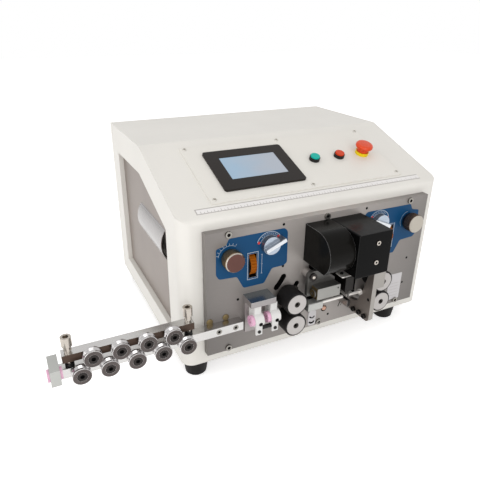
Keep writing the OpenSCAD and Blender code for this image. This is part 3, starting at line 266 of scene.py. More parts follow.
# Its near-black lip is painted shade round the edges of the heads
SCREW = finish("screw_steel", (0.30, 0.285, 0.26), 0.26, metal=0.9, fleck=0.15, size=0.5, edge=0.7,
               edge_wear_and_light=0.9, lip=(0.02, 0.02, 0.02))
PANEL_SCREW = finish("panel_screw", (0.60, 0.58, 0.54), 0.40, metal=0.2, fleck=0.1, size=0.5,
                     edge=0.3, edge_wear_and_light=0.6, lip=(0.42, 0.40, 0.37))
PANEL_SOCKET = finish("panel_socket", (0.30, 0.28, 0.23), 0.45, metal=0.3, fleck=0.15, size=0.5,
                      edge=0.3)
CHROME = finish("roller_chrome", (0.52, 0.505, 0.505), 0.14, metal=1.0, fleck=0.10, size=0.5,
                edge=0.4, edge_wear_and_light=0.4)
# Front faces of the rollers: darker than their chrome as a painted reflection, with a pale lip as a
# painted highlight on the rims
ROLLER_FACE = finish("roller_face", (0.105, 0.09, 0.087), 0.24, metal=0.9, fleck=0.15, size=0.4,
                     edge=0.9, cloud=0.3, edge_wear_and_light=0.9, lip=(0.55, 0.53, 0.52))
AXLE = finish("black_oxide", (0.02, 0.018, 0.017), 0.35, metal=0.8, fleck=0.2, size=0.6, edge=0.3,
              edge_wear_and_light=0.4)
AXLE_RING = finish("axle_head", (0.032, 0.028, 0.027), 0.28, metal=0.9, fleck=0.15, size=0.4,
                   edge=0.3, edge_wear_and_light=0.6)
HUB = finish("hub_face", (0.49, 0.465, 0.452), 0.38, metal=0.25, fleck=0.12, size=1.1, edge=0.5,
             cloud=0.10, edge_wear_and_light=0.3)
RUBBER = finish("black_rubber", (0.009, 0.008, 0.008), 0.55, fleck=0.25, size=0.7, bump=0.35,
                depth=0.12, edge=0.8, spec=0.15)
BRONZE = finish("bronze_face", (0.125, 0.052, 0.042), 0.40, metal=0.4, fleck=0.3, size=0.9,
                bump=0.2, edge=0.3, cloud=0.2, spec=0.3)
CREAM = finish("cream_face", (0.47, 0.43, 0.37), 0.40, metal=0.1, fleck=0.06, size=0.4, bump=0.15,
               edge=0.3)
BRASS = finish("brass", (0.30, 0.22, 0.13), 0.28, metal=1.0, fleck=0.12, size=0.5, edge=0.3,
               edge_wear_and_light=0.6)
OLIVE = finish("old_brass", (0.17, 0.125, 0.055), 0.40, metal=0.7, fleck=0.2, size=0.6, edge=0.4,
               edge_wear_and_light=0.5)
INDIGO = finish("indigo_side", (0.012, 0.017, 0.03), 0.30, metal=0.5, fleck=0.2, size=0.6, edge=0.4,
                edge_wear_and_light=0.8)
DARK_BRONZE = finish("dark_bronze", (0.13, 0.088, 0.066), 0.28, metal=0.8, fleck=0.3, size=0.5,
                     edge=0.4, edge_wear_and_light=0.8)
# Its near-black lip is painted shade along the arm's outline
ARM_STEEL = finish("arm_steel", (0.105, 0.102, 0.096), 0.30, metal=0.35, fleck=0.5, size=1.2,
                   stretch=ALONG_X, edge=0.9, cloud=0.4, edge_wear_and_light=0.9, lip=(0.015, 0.015, 0.015))
ARM_FACE = finish("arm_face", (0.30, 0.297, 0.28), 0.36, metal=0.5, fleck=0.1, size=0.5, edge=0.6,
                  cloud=0.15, edge_wear_and_light=0.5)
# Near white, paler than the tubes' metal, so that they read bright in the cutter's shade: partly a
# painted highlight
TUBE = finish("bright_tube", (0.86, 0.83, 0.79), 0.22, metal=0.35, fleck=0.06, size=0.5,
              stretch=ALONG_X, edge=0.3, cloud=0.1)
COPPER = finish("copper", (0.46, 0.27, 0.20), 0.3, metal=0.9, fleck=0.08, size=0.5, edge=0.3,
                edge_wear_and_light=0.4)
ORANGE = finish("orange_moulding", (0.33, 0.088, 0.002), 0.35, fleck=0.06, size=0.8, edge=0.4,
                spec=0.08)
CERAMIC = finish("pink_ceramic", (0.78, 0.43, 0.60), 0.18, fleck=0.04, size=1.2, bump=0.03,
                 edge=0.8, coat=0.3)
WHITE_PLASTIC = finish("white_moulding", (0.74, 0.735, 0.72), 0.35, fleck=0.03, size=0.8, edge=0.8,
                       spec=0.3)
# Black cover and hood: their grey lips are painted highlights on their edges, strongest along the
# hood's rim
BLACK_COVER = finish("black_cover", (0.0025, 0.0025, 0.0025), 0.20, fleck=0.2, size=0.7, bump=0.06,
                     edge=1.2, cloud=0.1, edge_wear_and_light=0.7, spec=0.06, lip=(0.07, 0.07, 0.07))
BLACK_HOOD = finish("black_hood", (0.0075, 0.007, 0.0062), 0.20, fleck=0.2, size=0.7, bump=0.06,
                    edge=1.0, cloud=0.1, edge_wear_and_light=0.8, spec=0.06, lip=(0.3, 0.3, 0.3))
BEZEL = finish("charcoal_bezel", (0.0245, 0.0205, 0.0185), 0.42, fleck=0.15, size=0.6, bump=0.15,
               edge=1.0, spec=0.12)
BLACK_PLASTIC = finish("black_moulding", (0.012, 0.012, 0.012), 0.38, fleck=0.15, size=0.8,
                       edge=0.5, spec=0.2)
# Near black: where it stands for the inside of a hole, slot or socket, or for a face in shade, it
# is painted shade
DARK_HOLE = finish("dark_hole", (0.005, 0.005, 0.005), 0.7, fleck=0.2, size=0.8, edge=0.2,
                   spec=0.05)
GREEN_CAP = finish("green_cap", (0.006, 0.45, 0.37), 0.25, fleck=0.06, size=0.8, edge=0.8,
                   coat=0.05, spec=0.12)
RED_CAP = finish("red_cap", (0.65, 0.055, 0.014), 0.25, fleck=0.06, size=0.8, edge=0.8, coat=0.05,
                 spec=0.12)
RED_HEAD = finish("red_head", (0.72, 0.062, 0.010), 0.28, fleck=0.05, size=0.8, edge=1.2, coat=0.15,
                  spec=0.25)
YELLOW = finish("yellow_collar", (0.84, 0.62, 0.010), 0.35, fleck=0.05, size=0.8, edge=0.8,
                spec=0.2)
BLUE = finish("blue_film", (0.006, 0.062, 0.162), 0.38, fleck=0.06, size=0.9, bump=0.05, edge=0.1,
              spec=0.13)
PRINT_WHITE = finish("print_white", (0.50, 0.56, 0.62), 0.45, fleck=0.04, size=0.9, bump=0.02,
                     edge=0.1)
PRINT_RED = finish("print_red", (0.60, 0.03, 0.02), 0.45, fleck=0.05, size=0.9, bump=0.02, edge=0.1)
CARD = finish("card", (0.60, 0.58, 0.59), 0.5, fleck=0.03, size=0.6, edge=0.1)
RULER = finish("ruler_strip", (0.82, 0.80, 0.79), 0.35, fleck=0.03, size=0.7, edge=0.1)
RULER_INK = finish("ruler_ink", (0.43, 0.405, 0.385), 0.5, fleck=0.1, size=0.7, edge=0.05)
GREEN_BOARD = finish("green_board", (0.01, 0.12, 0.04), 0.4, fleck=0.1, size=0.8, edge=0.3)


def lit_screen():
    """Pale display behind a clear pane, glowing a little: bluer at its left and greyer at its
    right, in soft patches."""
    mat = finish("lit_screen", (0.26, 0.31, 0.37), 0.12, fleck=0.03, size=1.5, bump=0.0, edge=0.2,
                 coat=0.15)
    t = mat.node_tree
    place = add(t, "ShaderNodeTexCoord").outputs["Object"]
    patches = add(t, "ShaderNodeTexNoise", Vector=place, Scale=28.0, Detail=1.0).outputs["Fac"]
    part = add(t, "ShaderNodeSeparateXYZ", Vector=place)
    low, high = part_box("hmi_screen")
    across = spread(t, part.outputs["X"], From_Min=low.x, From_Max=high.x, To_Min=-0.5, To_Max=0.7)
    greyness = reckon(t, "ADD", patches, across, clamp=True)
    shader = t.nodes["Principled BSDF"]
    feed(t, shader.inputs["Emission Color"],
         mix(t, greyness, (0.22, 0.52, 0.80, 1), (0.48, 0.46, 0.50, 1)))
    shader.inputs["Emission Strength"].default_value = 0.28
    return mat


def paint_light_over(mat, half, ends, centre, low, high, foot):
    """Paints light and shade into a material's colour by place, multiplying it from centre at the
    machine's middle to ends at the half width, and from foot at the height low to 1 at the
    height high."""
    t = mat.node_tree
    colour = t.nodes["Principled BSDF"].inputs["Base Color"]
    place = add(t, "ShaderNodeNewGeometry").outputs["Position"]
    part = add(t, "ShaderNodeSeparateXYZ", Vector=place)
    off = reckon(t, "ABSOLUTE", reckon(t, "SUBTRACT", part.outputs["X"], ORIGIN.x))
    across = spread(t, off, From_Max=half * MM, To_Min=centre, To_Max=ends)
    upward = spread(t, part.outputs["Z"], From_Min=ORIGIN.z + low * MM,
                    From_Max=ORIGIN.z + high * MM, To_Min=foot)
    both = reckon(t, "MULTIPLY", across, upward)
    feed(t, colour, mix(t, 1.0, colour.links[0].from_socket, both, "MULTIPLY"))


SCREEN = lit_screen()
# Painted light on the front plate: a pool of light over its middle, painted shade towards its ends
# and its foot
paint_light_over(PLATE_GREY, half=195, ends=0.83, centre=1.85, low=20, high=216, foot=0.76)


# Materials of the CAD nodes

FLAT = 0.9  # least share of a normal along an axis for a face to count as facing that way
SLANTED = 0.3  # the same for a face that only slants that way


def paint(node, *mats, pick=None):
    """Gives a CAD node its materials; pick(centre, normal) tells which of them a face gets."""
    mesh = nodes[node].data
    mesh.materials.clear()
    for m in mats:
        mesh.materials.append(m)
    for p in mesh.polygons:
        p.material_index = pick((p.center - ORIGIN) / MM, p.normal) if pick else 0


def near(c, x, z):
    """Distance from a line that runs front to back."""
    return math.hypot(c.x - x, c.z - z)


def up_slope(c):
    """Distance up the sloping face from its foot."""
    return c.y * math.cos(SLOPE) + (c.z - SLOPE_FOOT) * math.sin(SLOPE)


for name, mat in {
        "case_shell": WHITE, "control_panel": PANEL_WHITE, "side_panels": SIDE_GREY,
        "base_plate": SIDE_GREY, "inlet_block": SATIN, "ceramic_eyelets": CERAMIC,
        "side_handles": STAINLESS, "rubber_feet": RUBBER, "cutter_hood": BLACK_HOOD,
        "cutter_cover": BLACK_COVER, "stepper_motors": DARK_STEEL, "power_supply": STEEL,
        "mains_inlet": BLACK_PLASTIC, "power_rocker": BLACK_PLASTIC, "hmi_housing": BEZEL,
        "hmi_screen": SCREEN, "start_button": GREEN_CAP, "stop_button": RED_CAP,
        "estop_plunger": BLACK_PLASTIC, "estop_head": RED_HEAD, "swing_arm_left": DARK_STEEL,
        "swing_arm_right": DARK_STEEL, "lead_screw": STEEL}.items():
    paint(name, mat)

# Front plate: inside these limits, its windows and slots have walls painted dark, painted shade,
# and the cutter's opening a floor painted pale, a painted highlight
PLATE_HALF, PLATE_LOW, PLATE_HIGH = 195, 21, 215
CUTTER_X, CUTTER_FLOOR = (-30, 68), (55, 75)


def plate_pick(c, n):
    """0 the plate's faces and outer edges, 1 walls painted dark as painted shade, 2 floor of the
    cutter's opening painted pale as a painted highlight.
    """
    outside = abs(c.x) > PLATE_HALF or c.z < PLATE_LOW or c.z > PLATE_HIGH
    if abs(n.y) > FLAT or outside:
        return 0
    in_cutter = CUTTER_X[0] < c.x < CUTTER_X[1] and CUTTER_FLOOR[0] < c.z < CUTTER_FLOOR[1]
    return 2 if n.z > FLAT and in_cutter else 1


paint("front_plate", PLATE_GREY, DARK_HOLE, CUT_EDGE, pick=plate_pick)

# Wire straightener
AXLE_Y = PLATE_Y - 15.5
AXLE_HEAD, AXLE_SOCKET = 6.2, 3.3
ROLLER_BORE = AXLE_HEAD + 0.6
LOWER = [middle(f"lower_roller_{i + 1}") for i in range(5)]
UPPER = [middle(f"upper_roller_{i + 1}") for i in range(4)]


def axle_pick(c, n, rollers, plain):
    """1 black axle, 2 front ring of its head, 3 its socket, painted dark as painted shade; plain
    for the bar's own faces.
    """
    if c.y > AXLE_Y:
        return plain
    r = min(near(c, a.x, a.z) for a in rollers)
    if r < AXLE_SOCKET:
        return 3
    return 2 if n.y < -FLAT and r < AXLE_HEAD else 1


def roller_pick(c, n, axis):
    """0 chrome, 1 front face painted dark as a painted reflection, 2 bore painted dark as painted
    shade.
    """
    if near(c, axis.x, axis.z) < ROLLER_BORE:
        return 2
    return 1 if n.y < -FLAT else 0


paint("straightener_bar", BRIGHT, AXLE, AXLE_RING, DARK_HOLE,
      pick=lambda c, n: axle_pick(c, n, LOWER, 0))
# The slide's top faces take the pale aluminium, lighter than its brown sides: a painted reflection
# of the light above
paint("straightener_slide", BROWN, AXLE, AXLE_RING, DARK_HOLE, BRIGHT,
      pick=lambda c, n: axle_pick(c, n, UPPER, 4 if n.z > FLAT else 0))
for row, axes in (("lower", LOWER), ("upper", UPPER)):
    for i, axis in enumerate(axes):
        paint(f"{row}_roller_{i + 1}", CHROME, ROLLER_FACE, DARK_HOLE,
              pick=lambda c, n, a=axis: roller_pick(c, n, a))

# Adjusting screws: the black thread ends at this height
THREAD_TOP = 80.2
for side in ("left", "right"):
    paint("adjust_screw_" + side, NICKEL, BLACK_PLASTIC,
          pick=lambda c, n: 1 if c.z < THREAD_TOP else 0)

# Guide block with its lid; the guide holders are white, the nozzle among them isn't
LID_LOW = span("guide_block")[1].z - 8
NOZZLE_LEFT = -60


def block_pick(c, n):
    """0 dull block, 1 top of its lid, painted lighter and bluer as a painted reflection, 2 front of
    its lid, whose pale lip is a painted highlight.
    """
    if n.z > FLAT:
        return 1
    return 2 if n.y < -FLAT and c.z > LID_LOW else 0


paint("guide_block", DULL, LID, LID_FRONT, pick=block_pick)
paint("guide_holders", WHITE_PLASTIC, SATIN, pick=lambda c, n: 1 if c.x > NOZZLE_LEFT else 0)

# Screws: (radius of the head, places of the axes), on the panel by place across and up the slope
PLATE_HEAD = (4.9, [(x, z) for x in (-162, -2, 158) for z in (25.7, 210.3)])
COVER_HEAD = (3.5, [(38, 158), (38, 188.5)])
BAR_HEAD = (4.3, [(-183, 68.8), (-157, 68.8)])
PANEL_HEAD = (3.0, [(x, s) for x in (-162.5, 0, 162.5) for s in (35, 160)])
SOCKET_SHARE = 0.62
PANEL_FROM_Z = SLOPE_FOOT - 5
COVER_TO_Y = PLATE_Y - 60
BAR_TO_X, BAR_Z = -150, (50, 80)


def screw_pick(c, n):
    """0 steel head, 1 its socket, painted dark as painted shade, 2 bright head of the cover, 3 head
    on the panel, 4 its socket, painted darker as painted shade.
    """
    if c.z > PANEL_FROM_Z:
        r = min(math.hypot(c.x - x, up_slope(c) - s) for x, s in PANEL_HEAD[1])
        return 4 if r < PANEL_HEAD[0] * SOCKET_SHARE else 3
    if c.y < COVER_TO_Y:
        (radius, axes), head = COVER_HEAD, 2
    else:
        on_bar = c.x < BAR_TO_X and BAR_Z[0] < c.z < BAR_Z[1]
        (radius, axes), head = BAR_HEAD if on_bar else PLATE_HEAD, 0
    r = min(near(c, x, z) for x, z in axes)
    return 1 if r < radius * SOCKET_SHARE else head


paint("fixing_screws", SCREW, DARK_HOLE, NICKEL, PANEL_SCREW, PANEL_SOCKET, pick=screw_pick)

# Control board and its parts, black collars and the yellow one
BOARD_TOP = 13.7
YELLOW_FROM_X = 115
paint("control_board", GREEN_BOARD, BLACK_PLASTIC, pick=lambda c, n: 1 if c.z > BOARD_TOP else 0)
paint("button_collars", BLACK_PLASTIC, YELLOW, pick=lambda c, n: 1 if c.x > YELLOW_FROM_X else 0)

# Knobs and thumb wheels
KNOB_FACE_Y = PLATE_Y - 15


def knob_pick(c, n):
    """0 face of a round knob, 1 its rim, 2 its side."""
    if n.y < -FLAT and c.y < KNOB_FACE_Y:
        return 0
    return 1 if n.y < -SLANTED else 2


def pointer_pick(c, n, tip):
    """0 face of a pointer knob, 1 top of its ridge, painted brighter as a painted highlight, 2 its
    sides, painted darker as painted shade.
    """
    if n.y > -0.5:
        return 2
    return 1 if c.y < tip + 1 else 0


paint("gap_knob_left", BRONZE, NICKEL, BRASS, pick=knob_pick)
paint("gap_knob_right", CREAM, CREAM, INDIGO, pick=knob_pick)
for side in ("left", "right"):
    ridge_y = span("release_knob_" + side)[0].y
    paint("release_knob_" + side, KNOB_FACE, POLISHED, KNOB_SIDE,
          pick=lambda c, n, tip=ridge_y: pointer_pick(c, n, tip))
    # Their flat sides are painted near black: painted shade
    paint("pressure_wheel_" + side, ORANGE, DARK_HOLE,
          pick=lambda c, n: 1 if abs(n.x) > FLAT else 0)

# Feed and output rollers: light hubs with a dark bore, dark shafts behind the plate
HUB_BORE = 4.6
SHAFT_FROM = 15
for pair in ("feed", "output"):
    for place in ("lower", "upper"):
        axis = middle(f"{pair}_tyre_{place}")
        paint(f"{pair}_shaft_{place}", HUB, DARK_STEEL,
              pick=lambda c, n, a=axis: 1 if near(c, a.x, a.z) < HUB_BORE
              or c.y > a.y + SHAFT_FROM else 0)
        paint(f"{pair}_tyre_{place}", RUBBER)

# Cutter: black holders with bright blades, bracket, and the conduit arm on its pivot
BLADE_X = middle("upper_blade_holder").x
BLADE_REACH = 2
UPPER_BLADE_Z, LOWER_BLADE_Z = (82, 93.4), (65.8, 77)
PIVOT_SIDE_X = -10
arm_low, arm_high = span("conduit_arm")
DISC_TO_X, DISC_TO_Y = arm_low.x + 9, arm_high.y - 7
BLOCK_FRONT_TO_Y = arm_low.y + 1


def blade_pick(c, n, height):
    """0 holder, 1 blade within the range of height given."""
    in_blade = height[0] < c.z < height[1] and abs(c.x - BLADE_X) < BLADE_REACH
    return 1 if in_blade and n.y > -FLAT else 0


def frame_pick(c, n):
    """0 bracket's sides, 1 its front and right edge, painted lighter as painted light, 2 pivot's
    boss,
    3 pivot's head.
    """
    if c.x < PIVOT_SIDE_X:
        return 2 if c.y > arm_high.y else 3
    return 1 if n.y < -SLANTED or n.x > FLAT else 0


def arm_pick(c, n):
    """0 dark steel, 1 pale front of the block, 2 yellowed inlet disc."""
    if n.x < -FLAT and c.x < DISC_TO_X and c.y < DISC_TO_Y:
        return 2
    return 1 if n.y < -FLAT and c.y < BLOCK_FRONT_TO_Y else 0


paint("upper_blade_holder", AXLE, STEEL, pick=lambda c, n: blade_pick(c, n, UPPER_BLADE_Z))
paint("lower_blade_holder", AXLE, STEEL, pick=lambda c, n: blade_pick(c, n, LOWER_BLADE_Z))
paint("cutter_frame", BRACKET, BRACKET_LIT_FACE, PLATE_GREY, AXLE_RING, pick=frame_pick)
paint("conduit_arm", ARM_STEEL, ARM_FACE, OLIVE, pick=arm_pick)


# Builders of detail pieces

def piece(name, verts, faces, matrix, mat, body="machine"):
    """A mesh drawn in millimetres in the frame given, riding on a CAD body."""
    mesh = bpy.data.meshes.new(name)
    mesh.from_pydata([matrix @ Vector(v) for v in verts], [], faces)
    mesh.validate()
    mesh.materials.append(mat)
    obj = bpy.data.objects.new(name, mesh)
    bpy.context.scene.collection.objects.link(obj)
    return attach(obj, body)


def film(name, loops, thick, matrix, mat, body="machine"):
    """A flat piece of the thickness given: its outlines, then its holes, all as loops of points."""
    curve = bpy.data.curves.new(name, "CURVE")
    curve.dimensions = "2D"
    curve.fill_mode = "BOTH"
    curve.extrude = thick / 2
    for loop in loops:
        spline = curve.splines.new("POLY")
        spline.points.add(len(loop) - 1)
        for point, (x, y) in zip(spline.points, loop):
            point.co = (x, y, 0, 1)
        spline.use_cyclic_u = True
    flat = bpy.data.objects.new(name, curve)
    mesh = bpy.data.meshes.new_from_object(flat)
    bpy.data.objects.remove(flat)
    bpy.data.curves.remove(curve)
    mesh.transform(matrix @ Matrix.Translation((0, 0, thick / 2)))
    mesh.materials.clear()
    mesh.materials.append(mat)
    mesh.name = name
    obj = bpy.data.objects.new(name, mesh)
    bpy.context.scene.collection.objects.link(obj)
    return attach(obj, body)


def revolve(profile, steps, ring=False, drop=0.0):
    """Points and faces of a profile of (radius, height) turned about the drawing's z. ring joins
    its last point to its first; drop comes off the radius at every second step."""
    n = len(profile)
    verts, faces = [], []
    for k in range(steps):
        a = 2 * math.pi * k / steps
        less = drop * (k % 2)
        verts += [((r - less) * math.cos(a), (r - less) * math.sin(a), h) for r, h in profile]
        j = (k + 1) % steps
        faces += [(k * n + i, j * n + i, j * n + (i + 1) % n, k * n + (i + 1) % n)
                  for i in range(n if ring else n - 1)]
    return verts, faces


def lathe(name, profile, matrix, mat, body="machine", steps=40):
    """A turned piece: profile of (radius, height) that starts and ends on the axis."""
    rings = profile[1:-1]
    n = len(rings)
    verts, faces = revolve(rings, steps)
    foot, top = len(verts), len(verts) + 1
    verts += [(0, 0, profile[0][1]), (0, 0, profile[-1][1])]
    for k in range(steps):
        j = (k + 1) % steps
        faces += [(foot, j * n, k * n), (top, k * n + n - 1, j * n + n - 1)]
    return piece(name, verts, faces, matrix, mat, body)


def tube(name, inner, outer, length, flange, matrix, mat, steps=40):
    """An open tube along the drawing's z; flange is the (radius, thickness) at its far end."""
    wide, thick = flange
    loop = [(inner, 0), (outer, 0), (outer, length - thick), (wide, length - thick),
            (wide, length), (inner, length)]
    return piece(name, *revolve(loop, steps, ring=True), matrix, mat)


def boxes(name, items, matrix, mat):
    """Many small blocks as one piece: each is (x, y, width, height, depth, turn in degrees)."""
    verts, faces = [], []
    for x, y, w, h, d, turn in items:
        c, s = math.cos(math.radians(turn)), math.sin(math.radians(turn))
        k = len(verts)
        for dz in (0, d):
            for dx, dy in ((-w, -h), (w, -h), (w, h), (-w, h)):
                verts.append((x + (dx * c - dy * s) / 2, y + (dx * s + dy * c) / 2, dz))
        faces += [(k + 3, k + 2, k + 1, k), (k + 4, k + 5, k + 6, k + 7)]
        faces += [(k + i, k + (i + 1) % 4, k + 4 + (i + 1) % 4, k + 4 + i) for i in range(4)]
    return piece(name, verts, faces, matrix, mat)


def spot(x, y, r, angle):
    """Point of a circle at an angle in degrees."""
    a = math.radians(angle)
    return x + r * math.cos(a), y + r * math.sin(a)


def circle(x, y, r, steps=32, start=0, stop=360):
    """Points of a circle, or of an arc with both its ends."""
    count = steps if stop - start >= 360 else steps + 1
    return [spot(x, y, r, start + (stop - start) * i / steps) for i in range(count)]


def arc_band(x, y, r0, r1, start, stop, steps=32):
    """Outline of an arc between two radii."""
    return circle(x, y, r1, steps, start, stop) + circle(x, y, r0, steps, start, stop)[::-1]


def rectangle(x0, y0, x1, y1):
    """Outline from corner to corner."""
    return [(x0, y0), (x1, y0), (x1, y1), (x0, y1)]


def centred(x, y, half_w, half_h):
    """Outline of a rectangle about its middle."""
    return rectangle(x - half_w, y - half_h, x + half_w, y + half_h)


def soften(points, r, steps=5):
    """The outline with each corner cut by a short curve."""
    out = []
    for i, p in enumerate(points):
        p = Vector(p)
        a = Vector(points[i - 1]) - p
        b = Vector(points[(i + 1) % len(points)]) - p
        ra = min(r, a.length * 0.45)
        rb = min(r, b.length * 0.45)
        s, e = p + a.normalized() * ra, p + b.normalized() * rb
        for k in range(steps + 1):
            u = k / steps
            out.append(tuple((1 - u) ** 2 * s + 2 * u * (1 - u) * p + u * u * e))
    return out


# Blue films on the front plate, with their dials; the right one mostly mirrors the left

FILM_T = 0.2
INK_T = 0.08
DOT_T = INK_T + 0.04
# The dark discs are painted shade in place of the holes' insides
HOLE_T = 0.05  # of the dark discs that stand for holes
GAP_X, GAP_Z = -160, 176
DIAL_X, DIAL_Z = -98, 182.5
WHEEL_X, WHEEL_Z = -124, 155
GAUGE_X = -109.5
DIAL_R = 18
GAP_R = 19.5
FILM_OUTLINE = soften([
    (-180.3, 191.4), (-165.6, 194.3), (-161, 203.9), (-73.7, 204.2), (-68.5, 198.6),
    (-67.3, 148.7), (-72.2, 144.7), (-92.4, 144.2), (-104.9, 122.3), (-138.2, 122.2),
    (-148.7, 142.6), (-176.3, 144.3), (-180.8, 151.7)], 3)
WINDOW = centred(WHEEL_X, WHEEL_Z, 6.6, 18.9)
WINDOW_RIM = [centred(WHEEL_X, WHEEL_Z, 8.6, 21.4), centred(WHEEL_X, WHEEL_Z, 7.9, 20.7)]
DIAL_LINES = [arc_band(DIAL_X, DIAL_Z, r0, r1, 30, 160) for r0, r1 in ((20.2, 21.0), (15.2, 15.8))]
DIAL_TICKS = [(*spot(DIAL_X, DIAL_Z, DIAL_R, a), 2.6, 0.7, INK_T, a) for a in range(50, 140, 10)]
GAP_TICKS = [(*spot(GAP_X, GAP_Z, GAP_R, a), 2.8, 0.5, INK_T, a) for a in range(60, 171, 15)]
GAUGE = [(GAUGE_X, WHEEL_Z, 0.5, 30, INK_T, 0)]
GAUGE += [(GAUGE_X, WHEEL_Z + rise, 2.4, 0.6, INK_T, 0) for rise in (15, -15, 0)]
GAP_ARC = {"left": arc_band(GAP_X, GAP_Z, 17.1, 17.6, 60, 172),
           "right": arc_band(GAP_X, GAP_Z, 16.0, 16.4, -30, 80)}


def for_side(loops, side):
    """Outlines drawn for the left side, mirrored for the right."""
    return loops if side == "left" else [[(-x, y) for x, y in loop] for loop in loops]


for side in ("left", "right"):
    ink = on_plate(FILM_T)
    film("overlay_" + side, for_side([FILM_OUTLINE, WINDOW], side), FILM_T, on_plate(), BLUE)
    film("window_rim_" + side, for_side(WINDOW_RIM, side), INK_T, ink, PRINT_WHITE)
    film("dial_lines_" + side, for_side(DIAL_LINES, side), INK_T, ink, PRINT_WHITE)
    ticks = DIAL_TICKS + GAP_TICKS + GAUGE
    if side == "right":
        ticks = [(-x, y, w, h, d, -turn) for x, y, w, h, d, turn in DIAL_TICKS + GAUGE]
    boxes("dial_ticks_" + side, ticks, ink, PRINT_WHITE)
    for k, a in enumerate((38, 160)):
        dot = circle(*spot(DIAL_X, DIAL_Z, DIAL_R, a), 2.1, 20)
        film(f"dial_dot_{side}_{k}", for_side([dot], side), DOT_T, ink, PRINT_RED)
    film("gap_arc_" + side, for_side([GAP_ARC[side]], side), INK_T, ink, PRINT_WHITE)

# Small open holes of the front plate, as dark discs of painted shade, and brass heads above the
# straightener's bar
HOLES = [(-75.7, 210), (71, 210.8), (-146.9, 105.1), (171, 105.3), (-73.8, 143.4), (170, 57.8),
         (16.5, 35)]
for k, (x, z) in enumerate(HOLES):
    film(f"plate_hole_{k}", [circle(x, z, 2.1, 20)], HOLE_T, on_plate(), DARK_HOLE)
BRASS_HEAD = [(0, 0), (5.0, 0), (5.0, 0.9), (3.6, 1.6), (0, 1.8)]
for k, (x, z) in enumerate([(-191.5, 78.6), (-166.4, 80.2)]):
    lathe(f"brass_head_{k}", BRASS_HEAD, facing_front(x, PLATE_Y, z), OLIVE)

# Dark rings round the plate's screws: painted shade in the gap round each head
for k, (x, z) in enumerate(PLATE_HEAD[1]):
    film(f"screw_ring_{k}", [circle(x, z, PLATE_HEAD[0] + r) for r in (0.25, 0.05)], HOLE_T,
         on_plate(), DARK_HOLE)

# Blank label card at the plate's right end
CARD_T = 0.2
MARK_T = 0.06
film("label_card", [soften(rectangle(139, 28, 166.5, 78.5), 1.5)], CARD_T, on_plate(), CARD)
boxes("label_rules", [(152.7, z, 20, 0.5, MARK_T, 0) for z in (60, 54, 48, 42, 36)],
      on_plate(CARD_T), RULER_INK)

# Ruler strip along the slope's foot, with a line along its edges and a mark every 5 mm
RULER_LOW, RULER_HIGH, RULER_END, RULER_T = 12.2, 23.4, 197, 0.3
EDGE_LINE = 1.5
MARK_COUNT, MARK_STEP, MARK_W = 77, 5, 0.7
LONG_MARK, SHORT_MARK, MARK_SUNK = 4.6, 2.6, 0.2
film("ruler", [soften(rectangle(-RULER_END, RULER_LOW, RULER_END, RULER_HIGH), 1)], RULER_T,
     on_slope(), RULER)
marks = [(0, s, 2 * RULER_END, EDGE_LINE, MARK_T, 0)
         for s in (RULER_LOW + EDGE_LINE / 2, RULER_HIGH - EDGE_LINE / 2)]
marks.append((EDGE_LINE / 2 - RULER_END, (RULER_LOW + RULER_HIGH) / 2, EDGE_LINE,
              RULER_HIGH - RULER_LOW, MARK_T - 0.01, 0))
for i in range(MARK_COUNT):
    x = MARK_STEP * (i - (MARK_COUNT - 1) / 2)
    tall = SHORT_MARK if i % 2 else LONG_MARK
    marks.append((x, RULER_LOW + EDGE_LINE + tall / 2 - MARK_SUNK, MARK_W, tall, MARK_T, 0))
boxes("ruler_marks", marks, on_slope(RULER_T), RULER_INK)

# Knurled rims of the round knobs
KNURL = [(14.45, 5.6), (14.95, 6.2), (14.95, 18.0), (14.45, 18.6)]
KNURL_TEETH, KNURL_DEPTH = 80, 0.45
for side, x, mat in (("left", GAP_X, BRASS), ("right", -GAP_X, DARK_BRONZE)):
    piece("knurl_" + side, *revolve(KNURL, 2 * KNURL_TEETH, drop=KNURL_DEPTH),
          facing_front(x, PLATE_Y - 0.4, GAP_Z), mat, "gap_knob_" + side)

# Set screws of the guide holders and screws of their tabs
SET_SCREW = [(0, 0), (2.9, 0), (2.9, 0.4), (0, 0.4)]
TAB_SCREW = [(0, 0), (2.6, 0), (2.6, 1.2), (1.8, 1.8), (0, 1.8)]
for k, (set_x, tab_x) in enumerate([(-126, -128), (-99.5, -102)]):
    lathe(f"set_screw_{k}", SET_SCREW, facing_front(set_x, PLATE_Y - 33.4, 76.5), DARK_HOLE)
    lathe(f"tab_screw_{k}", TAB_SCREW, facing_front(tab_x, PLATE_Y - 32.5, 64), AXLE)

# Black spacer between the two guide holders
lathe("holder_spacer", [(0, 0), (3.2, 0), (3.2, 14), (0, 14)],
      facing_right(-121, PLATE_Y - 28, 67), BLACK_PLASTIC)

# Bright middle of the conduit arm's pivot screw, and a small hole in the arm's block, drawn as a
# dark disc of painted shade
PIVOT_X, PIVOT_Y, PIVOT_Z = -33.5, arm_high.y - 9.4, 126
lathe("pivot_screw", [(0, 0), (2.7, 0), (2.7, 0.5), (2.0, 0.9), (0, 0.9)],
      facing_front(PIVOT_X, PIVOT_Y, PIVOT_Z), NICKEL)
lathe("block_hole", [(0, 0), (1.3, 0), (1.3, HOLE_T), (0, HOLE_T)],
      facing_front(3.5, arm_low.y, 106.5), DARK_HOLE, "conduit_arm")

# Shallow pans that close the finger windows behind the grips, their rims on the panels' inner faces
PAN_Y, PAN_Z = (88, 218), (141, 185)
PAN_DEPTH, PAN_WALL = 5, 1
PANEL_BACK = 217


